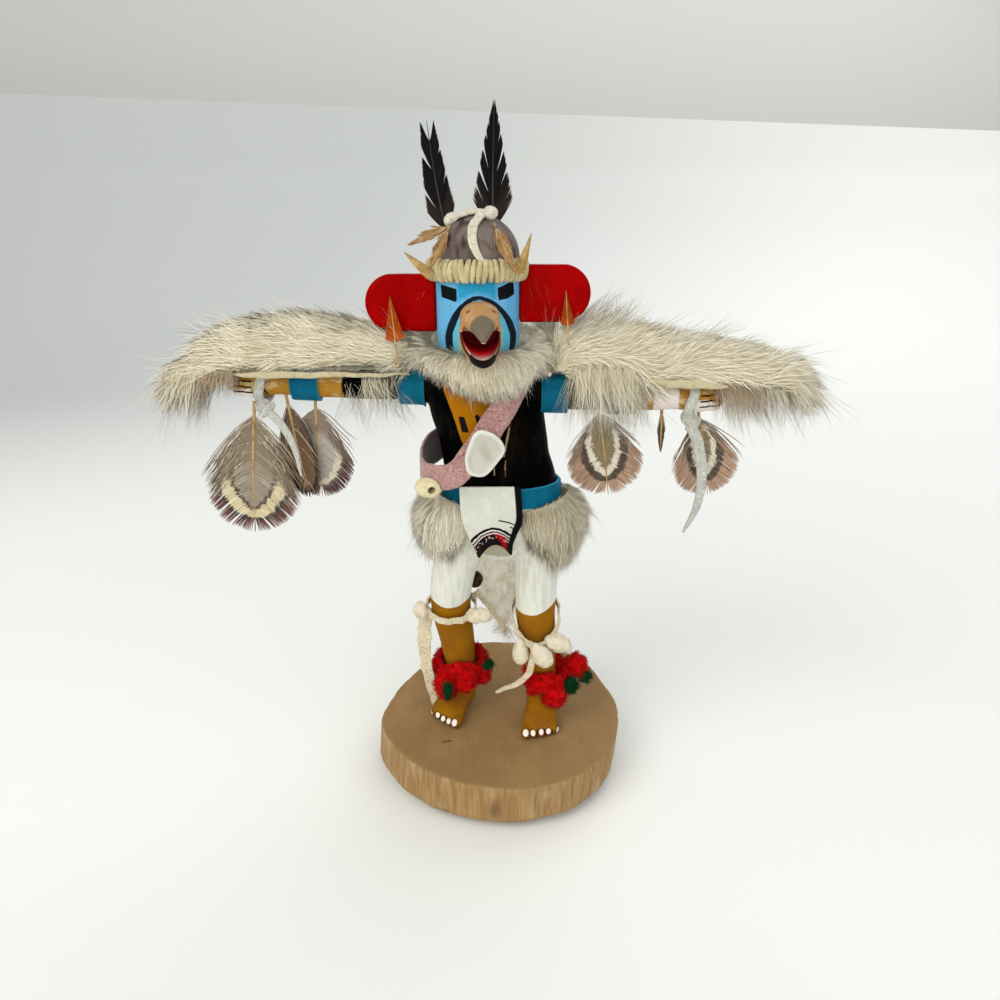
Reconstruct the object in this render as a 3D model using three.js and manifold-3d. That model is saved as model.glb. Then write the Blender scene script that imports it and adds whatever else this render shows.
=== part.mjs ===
// A small carved and painted dancer in a bird mask, with fur wings, feathers and leather trimmings,
// standing on a slice of branch. Millimetres, +Z up, the dancer facing -Y.
// The origin is the centre of the base's underside. "Left" is the side of -X, left as seen from the front.
import * as THREE from "three";
import { mergeVertices } from "three/addons/utils/BufferGeometryUtils.js";
import Module from "manifold-3d";

const wasm = await Module();
wasm.setup();

// Base
const BASE_DIAMETER = 90;
const BASE_THICKNESS = 14;
const BASE_LEAN = 1.2; // how far the cut's top lies towards +X of its underside

// Carved figure
const FIGURE_HEIGHT = 176; // soles to the crown of the head
const HEAD_RADIUS = 13;
const HEAD_TURN = 4; // degrees that the mask looks towards +X
const FINGER_GROOVE = 0.6;

// Pieces glued to the mask
const EAR_LENGTH = 22;
const EAR_HEIGHT = 17.4;
const EAR_THICKNESS = 5;
const HEADBAND_DEPTH = 2.8; // out from the head
const HEADBAND_HEIGHT = 6.2;

// Painted leather bands and straps
const LEATHER = 1.2; // thickness
const BELT_WIDTH = 7;
const ARMBAND_WIDTH = 8.6;
const WRISTBAND_WIDTH = 9;
const BANDOLIER_WIDTH = 8;
const LACE_WIDTH = 2.8;
const GARTER_TAIL_WIDTH = 5.4;

// Small pendants
const SHELL_DISC_WIDTH = 12.6;
const SHELL_DISC_HEIGHT = 15;
const SHELL_DISC_THICKNESS = 2;
const BEAD_DIAMETER = 9.5;
const BEAD_BORE = 2.6;
const BELL_DIAMETER = 6.6;

// Feathers
const FEATHER_THICKNESS = 1;
const QUILL_WIDTH = 1.4;

const FIT_GAP = 0.3; // between pieces that touch

// The pose and the carving are shares of the figure's height, counted in 176ths of it: one U is one of them.
const U = FIGURE_HEIGHT / 176;
// A point of the figure: x and y from the base's centre and z from the soles, in U.
const at = (x, y, z) => new THREE.Vector3(x * U, y * U, z * U);
// A ring of a limb: its centre, its half-width and its half-depth, in U.
const ring = (x, y, z, wide, deep = wide) => ({ at: at(x, y, z), wide: wide * U, deep: deep * U });
const pelt = (x, y, under, height, deep) => ring(x, y, under + height / 2, height / 2, deep);
const FAR = 1000; // beyond every piece
const BACKWARD = new THREE.Vector3(0, 1, 0);
const UPWARD = new THREE.Vector3(0, 0, 1);

const round = (count) =>
  Array.from({ length: count }, (_, i) => {
    const angle = (i / count) * 2 * Math.PI;
    return [Math.cos(angle), Math.sin(angle)];
  });
const FLAT = [
  [1, -1],
  [1, 1],
  [-1, 1],
  [-1, -1],
];
// A strip that can be arched: the same as FLAT, with three more points along each face.
const STRIP = [-1, 1].flatMap((face) => [-1, -0.5, 0, 0.5, 1].map((u) => [-face * u, face]));
// A pelt laid on an arm: flat below and rounded above. Its ring states where its underside is.
const PELT = Array.from({ length: 8 }, (_, i) => {
  const angle = Math.PI / 2 + (i / 7) * Math.PI;
  return [1 + 2 * Math.cos(angle), Math.sin(angle)];
});

// A closed three.js geometry as a solid that can be cut and joined.
function solidOf(geometry) {
  const bare = geometry.index ? geometry.toNonIndexed() : geometry.clone();
  bare.deleteAttribute("normal");
  bare.deleteAttribute("uv");
  const merged = mergeVertices(bare, 1e-4);
  const vertProperties = merged.attributes.position.array;
  const triVerts = new Uint32Array(merged.index.array);
  return new wasm.Manifold(new wasm.Mesh({ numProp: 3, vertProperties, triVerts }));
}

const join = (...solids) => solids.reduce((sum, solid) => sum.add(solid));

// Skins rows of points, each row a ring of an even count, into a solid. Open rows get a cap at each end.
function skin(rows, closed) {
  const corners = [];
  const add = (...points) => points.forEach((p) => corners.push(p.x, p.y, p.z));
  const count = rows[0].length;
  const spans = closed ? rows.length : rows.length - 1;
  for (let i = 0; i < spans; i++) {
    const next = rows[(i + 1) % rows.length];
    for (let j = 0; j < count; j++) {
      const k = (j + 1) % count;
      add(rows[i][j], rows[i][k], next[k]);
      add(rows[i][j], next[k], next[j]);
    }
  }
  if (!closed) {
    const [first, last] = [rows[0], rows[rows.length - 1]];
    for (let j = 0; j < count / 2 - 1; j++) {
      const k = count - 1 - j;
      add(first[j], first[k], first[j + 1]);
      add(first[j + 1], first[k], first[k - 1]);
      add(last[j], last[j + 1], last[k]);
      add(last[j + 1], last[k - 1], last[k]);
    }
  }
  const geometry = new THREE.BufferGeometry();
  geometry.setAttribute("position", new THREE.Float32BufferAttribute(corners, 3));
  return solidOf(geometry);
}

// A body of rings strung along a smooth path, with `between` more rings in each span. The depth of a ring
// lies along `facing`, a direction or a function of the ring's centre, and its width square to that. A ring
// with a `rise` is arched: its edges lie that much further along its depth than its middle.
function limb(rings, { section = round(10), facing = BACKWARD, between = 0, closed = false, grow = 0 } = {}) {
  const path = new THREE.CatmullRomCurve3(rings.map((r) => r.at), closed);
  const sizes = rings.map((r) => new THREE.Vector3(r.wide, r.deep, r.rise ?? 0));
  const girth = new THREE.CatmullRomCurve3(sizes, closed);
  const steps = (closed ? rings.length : rings.length - 1) * (between + 1);
  const rows = [];
  for (let i = 0; i < (closed ? steps : steps + 1); i++) {
    const centre = path.getPoint(i / steps);
    const along = path.getTangent(i / steps);
    const size = girth.getPoint(i / steps);
    const deep = (typeof facing === "function" ? facing(centre) : facing).clone();
    deep.addScaledVector(along, -deep.dot(along)).normalize();
    const wide = deep.clone().cross(along);
    if (!closed && i === 0) centre.addScaledVector(along, -grow);
    if (!closed && i === steps) centre.addScaledVector(along, grow);
    rows.push(
      section.map(([u, v]) =>
        centre
          .clone()
          .addScaledVector(wide, u * (size.x + grow))
          .addScaledVector(deep, v * (size.y + grow) + size.z * u * u),
      ),
    );
  }
  return skin(rows, closed);
}

// A ball stretched to half-sizes x, y and z about a point, turned about Z by an angle in degrees.
function ball(centre, [x, y, z], { turn = 0, around = 7, rows = 5, grow = 0 } = {}) {
  const geometry = new THREE.SphereGeometry(1, around, rows);
  geometry.rotateX(Math.PI / 2);
  geometry.scale(x + grow, y + grow, z + grow);
  geometry.rotateZ(THREE.MathUtils.degToRad(turn));
  geometry.translate(centre.x, centre.y, centre.z);
  return solidOf(geometry);
}

// A box between two corners.
function block(low, high) {
  const size = high.clone().sub(low);
  const geometry = new THREE.BoxGeometry(size.x, size.y, size.z);
  const centre = low.clone().add(high).divideScalar(2);
  geometry.translate(centre.x, centre.y, centre.z);
  return solidOf(geometry);
}
const slabX = (low, high) => block(new THREE.Vector3(low, -FAR, -FAR), new THREE.Vector3(high, FAR, FAR));
const slabZ = (low, high) => block(new THREE.Vector3(-FAR, -FAR, low), new THREE.Vector3(FAR, FAR, high));

// The slice of branch, bark stripped. Its rim is a smooth curve through these places, each an angle from +X
// in degrees and a share of the nominal radius.
const RIM = [
  [0, 0.995],
  [20, 0.98],
  [40, 1.035],
  [65, 1.035],
  [97, 1.025],
  [122, 0.985],
  [146, 0.925],
  [167, 0.93],
  [192, 0.998],
  [208, 0.985],
  [228, 0.975],
  [252, 0.98],
  [278, 1.01],
  [305, 1.035],
  [328, 1.027],
];
function base() {
  const corners = RIM.map(([degrees, share]) => {
    const angle = THREE.MathUtils.degToRad(degrees);
    const radius = (BASE_DIAMETER / 2) * share;
    return new THREE.Vector3(radius * Math.cos(angle) - BASE_LEAN, radius * Math.sin(angle), 0);
  });
  const RIM_STEPS = 48;
  const under = new THREE.CatmullRomCurve3(corners, true).getPoints(RIM_STEPS).slice(0, RIM_STEPS);
  const above = under.map((p) => p.clone().add(new THREE.Vector3(BASE_LEAN, 0, BASE_THICKNESS)));
  return skin([under, above], false);
}

// The carved figure: trunk, mask, arms and legs in one piece.
const TRUNK = [
  ring(-0.5, 0.5, 64, 8, 6.5),
  ring(0, 0.3, 69.5, 15.5, 10.6),
  ring(0.6, 0, 80, 19.6, 12.5),
  ring(0.3, 0, 90, 19, 12.2),
  ring(-1.2, 0, 99, 17.8, 11.6),
  ring(-2.8, 0, 110, 17.8, 11.4),
  ring(-5, 0, 120, 18.4, 11),
  ring(-6, 0, 127, 17, 9.5),
  ring(-6.4, 0, 131.5, 11, 8),
  ring(-6.9, 0, 138, 8, 8),
];
const ARMS = [
  [
    ring(-11, 0, 119.5, 9.5, 8.5),
    ring(-18.5, 0, 122.6, 7, 7),
    ring(-24.5, 0, 124, 5.2, 5.2),
    ring(-43, 0, 124.3, 4.8),
    ring(-60, 0, 124.6, 4.4),
    ring(-73, -0.5, 124.8, 3.9, 3.6),
    ring(-80, -1, 124.4, 4.5, 3.6),
    ring(-87, -1.5, 124, 3.4, 2.8),
  ],
  [
    ring(-1, 0, 119, 9.5, 8.5),
    ring(6.5, -1, 121.2, 7, 7),
    ring(12.5, -1.8, 121.9, 5.2, 5.2),
    ring(30, -3, 121.4, 4.8),
    ring(46, -4, 121.2, 4.4),
    ring(57, -4.5, 121, 3.9, 3.6),
    ring(64, -5, 120.6, 4.7, 3.6),
    ring(71, -5.5, 120.2, 3.4, 2.8),
  ],
];
const LEGS = [
  [
    ring(-10.5, 0.5, 74, 9, 10.5),
    ring(-15, 0, 63, 8, 9),
    ring(-17.5, 0, 51, 7.4, 7.8),
    ring(-17.6, 0.6, 42, 7.1, 7.3),
    ring(-15.8, 2.6, 27, 6.3, 6.6),
    ring(-14.8, 4, 15, 5.5, 6.2),
    ring(-14.8, 4, 4, 5.4, 6.6),
  ],
  [
    ring(10.5, 0, 74, 9, 10.5),
    ring(12.4, -0.5, 63, 8.3, 9),
    ring(12.8, -1.4, 51, 7.5, 7.8),
    ring(12.8, -1.6, 42, 7.1, 7.3),
    ring(14.2, -2.4, 27, 6.2, 6.6),
    ring(15.3, -3, 15, 5.3, 6.2),
    ring(15.3, -3, 4, 5.3, 6.6),
  ],
];
const ANKLES = [
  { x: -14.8, y: 4, turn: -22, inner: 1 },
  { x: 15.3, y: -3, turn: -3, inner: -1 },
];
const TOES = [
  // forward of the ankle, half-width
  [16.6, 1.9],
  [16.4, 1.55],
  [15.8, 1.45],
  [14.8, 1.35],
  [13.4, 1.2],
];
const HEAD_X = -6.9;
const EYE_LINE = 149; // height of the mask's middle, in U
const BAND_LINE = 160.2; // height of the headband's middle, in U
const DOME_LINE = 163; // where the crown starts to round over, in U

const legPart = (grow) => LEGS.map((rings) => limb(rings, { section: round(10), grow }));
const armPart = (grow) => ARMS.map((rings) => limb(rings, { section: round(10), grow }));
const trunkPart = (grow) => limb(TRUNK, { section: round(18), grow });

// A point of a foot: forward of the ankle, towards the big toe, and up.
function onFoot({ x, y, turn, inner }, forward, inward, up) {
  const a = THREE.MathUtils.degToRad(turn);
  const sideways = inward * inner;
  return at(
    x + forward * Math.sin(a) + sideways * Math.cos(a),
    y - forward * Math.cos(a) + sideways * Math.sin(a),
    up,
  );
}

function foot(ankle, grow) {
  const along = [
    [-6, 3.4, 3.4, 3.4],
    [-2, 5, 5, 5.6],
    [4, 4.8, 5.6, 5],
    [9, 3.4, 6.2, 3.6],
    [14.5, 1.9, 6.3, 2],
  ];
  const rings = along.map(([forward, up, wide, deep]) => ({
    at: onFoot(ankle, forward, 0, up),
    wide: wide * U,
    deep: deep * U,
  }));
  const toes = TOES.map(([forward, size], k) =>
    ball(onFoot(ankle, forward - 1.6, 5.2 - 2.75 * k, size), [size * U, size * 2 * U, size * U], {
      turn: ankle.turn,
      around: 7,
      rows: 4,
      grow,
    }),
  );
  return join(limb(rings, { facing: UPWARD, grow }), ...toes);
}

// The mask is a round drum with a domed crown and a short neck.
function mask(grow) {
  const rim = HEAD_RADIUS * U + grow;
  const top = at(0, 0, DOME_LINE).z;
  const profile = [
    new THREE.Vector2(0, at(0, 0, 132).z - grow),
    new THREE.Vector2(rim * 0.66, at(0, 0, 132).z - grow),
    new THREE.Vector2(rim * 0.94, at(0, 0, 136).z - grow),
    new THREE.Vector2(rim, at(0, 0, 139).z - grow),
  ];
  const DOME_STEPS = 4;
  for (let i = 0; i < DOME_STEPS; i++) {
    const a = (i / DOME_STEPS) * (Math.PI / 2);
    profile.push(new THREE.Vector2(rim * Math.cos(a), top + rim * Math.sin(a)));
  }
  profile.push(new THREE.Vector2(0, top + rim));
  const geometry = new THREE.LatheGeometry(profile, 20);
  geometry.rotateX(Math.PI / 2);
  geometry.translate(HEAD_X * U, 0, 0);
  return solidOf(geometry);
}

// Three grooves part each hand into four fingers.
function fingerGrooves() {
  const cuts = [];
  for (const rings of ARMS) {
    const [palm, tip] = rings.slice(-2).map((r) => r.at);
    const outward = Math.sign(tip.x - palm.x);
    for (const share of [-0.5, 0, 0.5]) {
      const z = palm.z + share * rings[rings.length - 2].wide;
      const near = palm.x - outward * U;
      const far = tip.x + outward * 4 * U;
      const half = FINGER_GROOVE / 2;
      const low = new THREE.Vector3(Math.min(near, far), -FAR, z - half);
      const high = new THREE.Vector3(Math.max(near, far), FAR, z + half);
      cuts.push(block(low, high).intersect(block(at(-FAR, -FAR, 100), at(FAR, palm.y / U - 1.6, 140))));
    }
  }
  return join(...cuts);
}

function figure(grow) {
  const feet = ANKLES.map((ankle) => foot(ankle, grow));
  return join(trunkPart(grow), mask(grow), ...armPart(grow), ...legPart(grow), ...feet);
}
const figureWithRoom = figure(FIT_GAP);

function carvedFigure() {
  return mainBody(figure(0).subtract(fingerGrooves()).intersect(slabZ(0, FAR)));
}

// A flat ear board: straight where it meets the mask and rounded at its outer end.
function ear(side, middle, grow) {
  const half = (EAR_HEIGHT * U) / 2;
  const inner = (HEAD_RADIUS - 4) * U;
  const straight = (HEAD_RADIUS + EAR_LENGTH) * U - half;
  const outline = new THREE.Shape();
  outline.moveTo(inner, -half - grow);
  outline.lineTo(straight, -half - grow);
  outline.absarc(straight, 0, half + grow, -Math.PI / 2, Math.PI / 2);
  outline.lineTo(inner, half + grow);
  outline.closePath();
  const edge = EAR_THICKNESS * 0.16;
  const geometry = new THREE.ExtrudeGeometry(outline, {
    depth: EAR_THICKNESS - 2 * edge + 2 * grow,
    bevelThickness: edge,
    bevelSize: edge,
    bevelOffset: -edge,
    bevelSegments: 1,
    curveSegments: 12,
  });
  geometry.translate(0, 0, -EAR_THICKNESS / 2 + edge - grow);
  geometry.rotateX(Math.PI / 2);
  if (side < 0) geometry.rotateZ(Math.PI);
  const centre = at(HEAD_X, 0, middle);
  geometry.translate(centre.x, centre.y, centre.z);
  return solidOf(geometry);
}

// A point of the mask's snout: forward of the head's axis and up, in U.
function onSnout(forward, up, aside = 0) {
  const a = THREE.MathUtils.degToRad(HEAD_TURN);
  return at(
    HEAD_X + forward * Math.sin(a) + aside * Math.cos(a),
    -forward * Math.cos(a) + aside * Math.sin(a),
    up,
  );
}
const snoutRing = (forward, up, wide, deep) => ({ at: onSnout(forward, up), wide: wide * U, deep: deep * U });

// The open beak: a round root, a lower half hollowed like a scoop, and a hooked upper half over it.
function beak(grow) {
  const root = [snoutRing(9, 143.4, 6.3, 7.4), snoutRing(15.6, 143.6, 6.1, 6.6)];
  const lower = [
    snoutRing(9, 141.5, 6.3, 6),
    snoutRing(15, 141, 6.1, 5.4),
    snoutRing(21, 139.9, 5.6, 4.3),
    snoutRing(27, 138.6, 4.6, 3.1),
    snoutRing(32, 137.4, 3, 2),
    snoutRing(34.2, 137, 1.4, 1.2),
  ];
  const throat = [
    snoutRing(14.6, 143.6, 4.6, 4),
    snoutRing(20, 143.1, 4.8, 4.5),
    snoutRing(25, 141.9, 4.2, 4.1),
    snoutRing(30, 140.9, 3.2, 3.3),
    snoutRing(36, 140, 2.4, 2.4),
  ];
  const upper = [
    snoutRing(14, 146.6, 6, 4.1),
    snoutRing(21, 146.8, 5.2, 3.3),
    snoutRing(27, 146.5, 3.9, 2.5),
    snoutRing(32, 145.4, 2.4, 1.8),
    snoutRing(35.3, 143.9, 0.9, 0.9),
  ];
  const shape = { facing: UPWARD, section: round(10), grow };
  const bowl = limb(root, shape).add(limb(lower, shape));
  const hollowed = grow ? bowl : bowl.subtract(limb(throat, shape));
  return hollowed.add(limb(upper, shape));
}

// A closed loop about an upright axis. `place` gives, for an angle from the front, a ring in U.
const loopRings = (count, place) => Array.from({ length: count }, (_, i) => place((i / count) * 2 * Math.PI));
const outFrom = (x, y) => (p) => new THREE.Vector3(p.x - x * U, p.y - y * U, 0);

// The thick twisted yarn that sits round the crown.
function headband(grow) {
  const radius = HEAD_RADIUS + HEADBAND_DEPTH / 2 / U;
  const rings = loopRings(20, (a) => ({
    at: at(HEAD_X + radius * Math.sin(a), -radius * Math.cos(a), BAND_LINE),
    wide: HEADBAND_HEIGHT / 2,
    deep: HEADBAND_DEPTH / 2,
  }));
  return limb(rings, { section: round(6), facing: outFrom(HEAD_X, 0), closed: true, grow });
}

// A flat lace along a smooth path, tapering to its end.
function lace(points, width, { facing = BACKWARD, taper = 0.5, grow = 0, between = 1 } = {}) {
  const rings = points.map(([x, y, z], i) => {
    const left = 1 - (1 - taper) * (i / (points.length - 1)) ** 3;
    return { at: at(x, y, z), wide: (width / 2) * left, deep: LEATHER / 2 };
  });
  return limb(rings, { section: FLAT, facing, between, grow });
}

const outFromCrown = (p) => p.clone().sub(at(HEAD_X, 0, DOME_LINE));
const CROWN_KNOTS = [
  [-14.6, -3, 174.4],
  [-2.6, -4, 176.2],
];
function crownLace(grow) {
  const r = HEAD_RADIUS + LEATHER / 2 / U + 0.4;
  const over = [-42, -20, 0, 20].map((degrees) => {
    const a = THREE.MathUtils.degToRad(degrees);
    return [HEAD_X + r * Math.sin(a), -3.5, DOME_LINE + Math.sqrt(r * r - 12) * Math.cos(a)];
  });
  const down = [20, 42, 64, 84].map((degrees) => {
    const a = THREE.MathUtils.degToRad(degrees);
    return [-4.4 - 1.4 * Math.sin(2 * a), -r * Math.sin(a), DOME_LINE + r * Math.cos(a)];
  });
  const knots = CROWN_KNOTS.map((p) => ball(at(...p), [2.3, 2.1, 2.1], { grow }));
  const strips = [over, down].map((points) =>
    lace(points, LACE_WIDTH, { facing: outFromCrown, taper: 0.8, grow }),
  );
  return join(...strips, ...knots);
}

// A feather is a thin lens, from a narrow quill at its root to a rounded or pointed tip.
const VANE = [0, 0.5, 0.84, 1, 1, 0.84, 0.36];
function feather({ root, tip, half, bow = 0, pointed = false, facing = BACKWARD }, grow) {
  const [a, b] = [at(...root), at(...tip)];
  const rings = VANE.map((share, i) => {
    const t = i / (VANE.length - 1);
    const centre = a.clone().lerp(b, t);
    centre.y += bow * U * Math.sin(Math.PI * t);
    const fill = pointed ? Math.sin(Math.PI * Math.min(1, 0.12 + t * 0.86)) : share;
    return {
      at: centre,
      wide: Math.max(QUILL_WIDTH / 2, half * U * fill),
      deep: FEATHER_THICKNESS / 2,
    };
  });
  return limb(rings, { section: round(8), facing, grow });
}
const CREST = [
  { root: [-16.4, 6.4, 168], tip: [-22.6, 5, 202], half: 4.1, bow: 1, pointed: true },
  { root: [-2.4, 7, 168], tip: [-2.3, 5, 206], half: 6, bow: 1, pointed: true },
];
const BROW = [
  { root: [-16.4, -5, 174.2], tip: [-27.5, -9, 168.6], half: 2.6 },
  { root: [-15, -5, 173.4], tip: [-20.4, -16.4, 163.4], half: 1.9 },
  { root: [-2, -5.8, 175.4], tip: [5.6, -17.6, 162], half: 2.4 },
];
const TEMPLE = [
  { root: [-19.6, -9.2, 158.4], tip: [-28.2, -9, 165.2], half: 2.2, pointed: true },
  { root: [5.2, -10.4, 159.2], tip: [9.2, -9.6, 170.4], half: 2.2, pointed: true },
];
const EAR_PLUMES = [
  { root: [-31.4, -9.4, 131.6], tip: [-33.8, -3.5, 152.4], half: 3.2, pointed: true },
  { root: [21.6, -7.4, 136], tip: [20.6, -3.5, 151], half: 3, pointed: true },
];
const WING_FEATHERS = {
  left_outer: { root: [-80, -3.2, 120.4], tip: [-82, -7.5, 75.4], half: 13.4, bow: -2 },
  left_middle: { root: [-70.6, -0.6, 121.2], tip: [-64.5, -3.6, 92], half: 4 },
  left_inner: { root: [-60.6, 1.6, 120.4], tip: [-61, 1, 84.6], half: 12, bow: -2 },
  right_inner: { root: [32, -1, 118], tip: [36.6, -1.5, 87], half: 12, bow: -2 },
  right_middle: { root: [52.2, -4, 117.6], tip: [52.8, -4.4, 102.6], half: 2.2, pointed: true },
  right_outer: { root: [64, -3.4, 117], tip: [70, -3.6, 87.6], half: 10.5, bow: -2 },
};

// The fur is a plain body where its pile ends.
function collar(grow) {
  const rings = loopRings(14, (a) => {
    const front = (1 + Math.cos(a)) / 2;
    return {
      at: at(-6 + 17.5 * Math.sin(a), -15.6 * Math.cos(a), 137 - 6.6 * front),
      wide: (7 + 0.4 * front) * U,
      deep: 5.2 * U,
    };
  });
  return limb(rings, { section: round(8), facing: outFrom(-6, 0), closed: true, grow });
}
const WINGS = [
  [
    pelt(-107, -2.5, 120, 4, 3),
    pelt(-101, -1.5, 122.5, 10, 7),
    pelt(-91, 0, 126, 15.5, 10),
    pelt(-76, 1.5, 128.6, 18, 11.5),
    pelt(-56, 2, 129.2, 18.5, 12),
    pelt(-38, 2, 129.2, 14, 11.5),
    pelt(-21, 2, 129.2, 11.5, 9.5),
  ],
  [
    pelt(9, 2, 127.8, 13, 9.5),
    pelt(24, 1.5, 127.6, 15, 11.5),
    pelt(42, 1, 127, 17, 12),
    pelt(60, 0, 126.4, 14.5, 11.5),
    pelt(78, -1, 125.6, 12.6, 10),
    pelt(92, -2, 122.5, 12, 8),
    pelt(100.5, -3, 120, 4.5, 3),
  ],
];
const wing = (rings) => (grow) => limb(rings, { section: PELT, grow });

// A painted band is the skin of a limb, as thick as the leather, between two places along it.
function bandRound(limbWithGrowth, slab, grow) {
  const outer = limbWithGrowth(FIT_GAP + LEATHER + grow);
  const inner = limbWithGrowth(FIT_GAP - grow);
  return outer.subtract(inner).intersect(slab);
}
const BELT_LINE = 88.9; // height of the belt's middle, in U
const BANDS = {
  left: { arm: 0, upper: -28.4, wrist: -62.5 },
  right: { arm: 1, upper: 17.4, wrist: 39 },
};
function armBand({ arm }, middle, width, grow) {
  const slab = slabX(middle * U - width / 2 - grow, middle * U + width / 2 + grow);
  return bandRound((g) => limb(ARMS[arm], { section: round(10), grow: g }), slab, grow);
}
function belt(grow) {
  const middle = at(0, 0, BELT_LINE).z;
  const slab = slabZ(middle - BELT_WIDTH / 2 - grow, middle + BELT_WIDTH / 2 + grow);
  return bandRound(trunkPart, slab, grow);
}

// The breechcloth hangs over the belt, flares forward and arches towards its hem.
function breechcloth(grow) {
  const front = -(12.3 * U + FIT_GAP + LEATHER) / U - 0.8;
  const fall = [
    // sideways, forward, up, half-width, rise of the arch
    [-2.8, 0, 94, 9.7, 0],
    [-2.7, 0.2, 85.5, 9.7, 0.6],
    [-2.6, 2.4, 81.5, 8.8, 2],
    [-2.6, 6.4, 78.5, 7, 3.6],
    [-2.6, 9.4, 77, 6.1, 4.6],
  ];
  const rings = fall.map(([x, forward, up, half, rise]) => ({
    at: at(x, front - forward, up),
    wide: half * U,
    deep: LEATHER / 2,
    rise: rise * U,
  }));
  return limb(rings, { section: STRIP, between: 1, grow });
}

// The bandolier runs from the right shoulder across the chest, stands off the left hip and climbs the back.
const BANDOLIER = [
  [3, -14, 122.8],
  [-2.4, -14.6, 114.6],
  [-7.2, -15.8, 107.4],
  [-15, -17.2, 98.8],
  [-22.6, -13.6, 98.6],
  [-25.8, -6, 101.4],
  [-24.4, 3.6, 105.6],
  [-15, 13.2, 108],
  [0, 14.2, 115],
  [9, 11, 124.6],
  [8.6, 0, 131.4],
];
const outFromTrunk = outFrom(-3, 0);
function bandolier(grow) {
  const rings = BANDOLIER.map(([x, y, z]) => ({ at: at(x, y, z), wide: BANDOLIER_WIDTH / 2, deep: LEATHER / 2 }));
  const facing = (p) => outFromTrunk(p).add(new THREE.Vector3(0, 0, Math.max(0, p.z - at(0, 0, 124).z) * 2));
  return limb(rings, { section: FLAT, facing, between: 2, closed: true, grow });
}
// A pendant's place: out from a point of the bandolier by half of both thicknesses and the gap.
function beforeBandolier(index, half) {
  const p = at(...BANDOLIER[index]);
  return p.addScaledVector(outFromTrunk(p).normalize(), LEATHER / 2 + FIT_GAP + half);
}
function shellDisc(grow) {
  const half = SHELL_DISC_THICKNESS / 2;
  const sizes = [SHELL_DISC_WIDTH / 2, half, SHELL_DISC_HEIGHT / 2];
  const place = beforeBandolier(2, half).add(new THREE.Vector3(2.8, -0.6, -0.6).multiplyScalar(U));
  return ball(place, sizes, { turn: -10, around: 12, rows: 8, grow });
}
function bead(grow) {
  const half = BEAD_DIAMETER / 2;
  const place = at(-22.7, -15, 94.2);
  const bore = new THREE.CylinderGeometry(BEAD_BORE / 2, BEAD_BORE / 2, 3 * BEAD_DIAMETER, 8);
  bore.rotateZ(0.35);
  bore.translate(place.x, place.y, place.z);
  const body = ball(place, [half, half * 0.9, half * 0.72], { around: 12, rows: 8, grow });
  return grow ? body : body.subtract(solidOf(bore));
}

// Each hip fur wraps the side of a thigh; the part that would fill the gap between the legs is left off.
function hipFur(side, grow) {
  const lean = side > 0 ? [14.6, 18.6, 18.4, 17] : [-13.6, -18, -19.4, -19.4];
  const rings = [
    ring(lean[0], 0.5, 85.4, 9.4, 14),
    ring(lean[1], 0, 79, 13.4, 15.4),
    ring(lean[2], 0, 70, 12.6, 14.4),
    ring(lean[3], 0, side > 0 ? 56 : 61, 8.6, 10),
  ];
  const clear = side > 0 ? slabX(10.5 * U - grow, FAR) : slabX(-FAR, -13.5 * U + grow);
  return limb(rings, { section: round(12), between: 1, grow }).intersect(clear);
}
function tailFur(grow) {
  const rings = [
    ring(0, 14, 90, 9, 3.6),
    ring(0.5, 15.6, 78, 9, 5),
    ring(1.5, 15.4, 58, 7.6, 4.6),
    ring(2.6, 14.4, 38, 5.4, 3.4),
    ring(3.4, 13.6, 24, 2, 1.4),
  ];
  return limb(rings, { section: round(10), grow });
}

// A garter is a lace round the leg, tilted down to the front, where it can sag away, with loose tails.
const GARTERS = {
  left: {
    x: -17.6,
    y: 0.4,
    reach: 9,
    sag: 0,
    height: 43,
    dip: 1.6,
    tails: [
      [GARTER_TAIL_WIDTH, [-26.6, -1, 43], [-27.6, -1.6, 34], [-27.2, -3, 20], [-24.2, -4, 3]],
      [LACE_WIDTH, [-9.8, 3, 43.6], [-8.6, 7.4, 45], [-4.6, 6, 40], [2.4, 3.6, 31.6]],
    ],
  },
  right: {
    x: 12.8,
    y: -1.6,
    reach: 8.7,
    sag: 2.6,
    height: 41,
    dip: 7,
    tails: [[LACE_WIDTH, [12, -12, 34], [10.4, -13.6, 24], [5.4, -12.8, 18.4], [-1.6, -11, 13.6]]],
  },
};
function garter({ x, y, reach, sag, height, dip, tails }, grow) {
  const forward = (a) => (reach + sag * Math.max(0, Math.cos(a))) * Math.cos(a);
  const rings = loopRings(14, (a) => ({
    at: at(x + reach * Math.sin(a), y - forward(a), height - dip * Math.cos(a)),
    wide: LACE_WIDTH / 2,
    deep: LEATHER / 2,
  }));
  const loop = limb(rings, { section: FLAT, facing: outFrom(x, y), closed: true, grow });
  const strips = tails.map(([width, ...points]) => lace(points, width, { grow }));
  return join(loop, ...strips);
}
// The knobbly shells tied into the garters: centre, half-sizes and turn.
const SHELLS = {
  left_outer: [[-28.4, -3, 43], [2.9, 2.8, 3.4], 0],
  left_inner: [[-7.2, -5.4, 42], [4.6, 3, 3.2], -20],
  right_inner: [[6.8, -11.8, 32], [3, 2.8, 5.2], 10],
  right_middle: [[15.4, -14.2, 30.8], [3.7, 2.8, 5.4], -10],
  right_outer: [[22.2, -9.4, 33.6], [4.6, 3.2, 3.8], 30],
};
const shell = ([centre, half, turn]) => (grow) =>
  ball(at(...centre), half.map((size) => size * U), { turn, grow });

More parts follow.
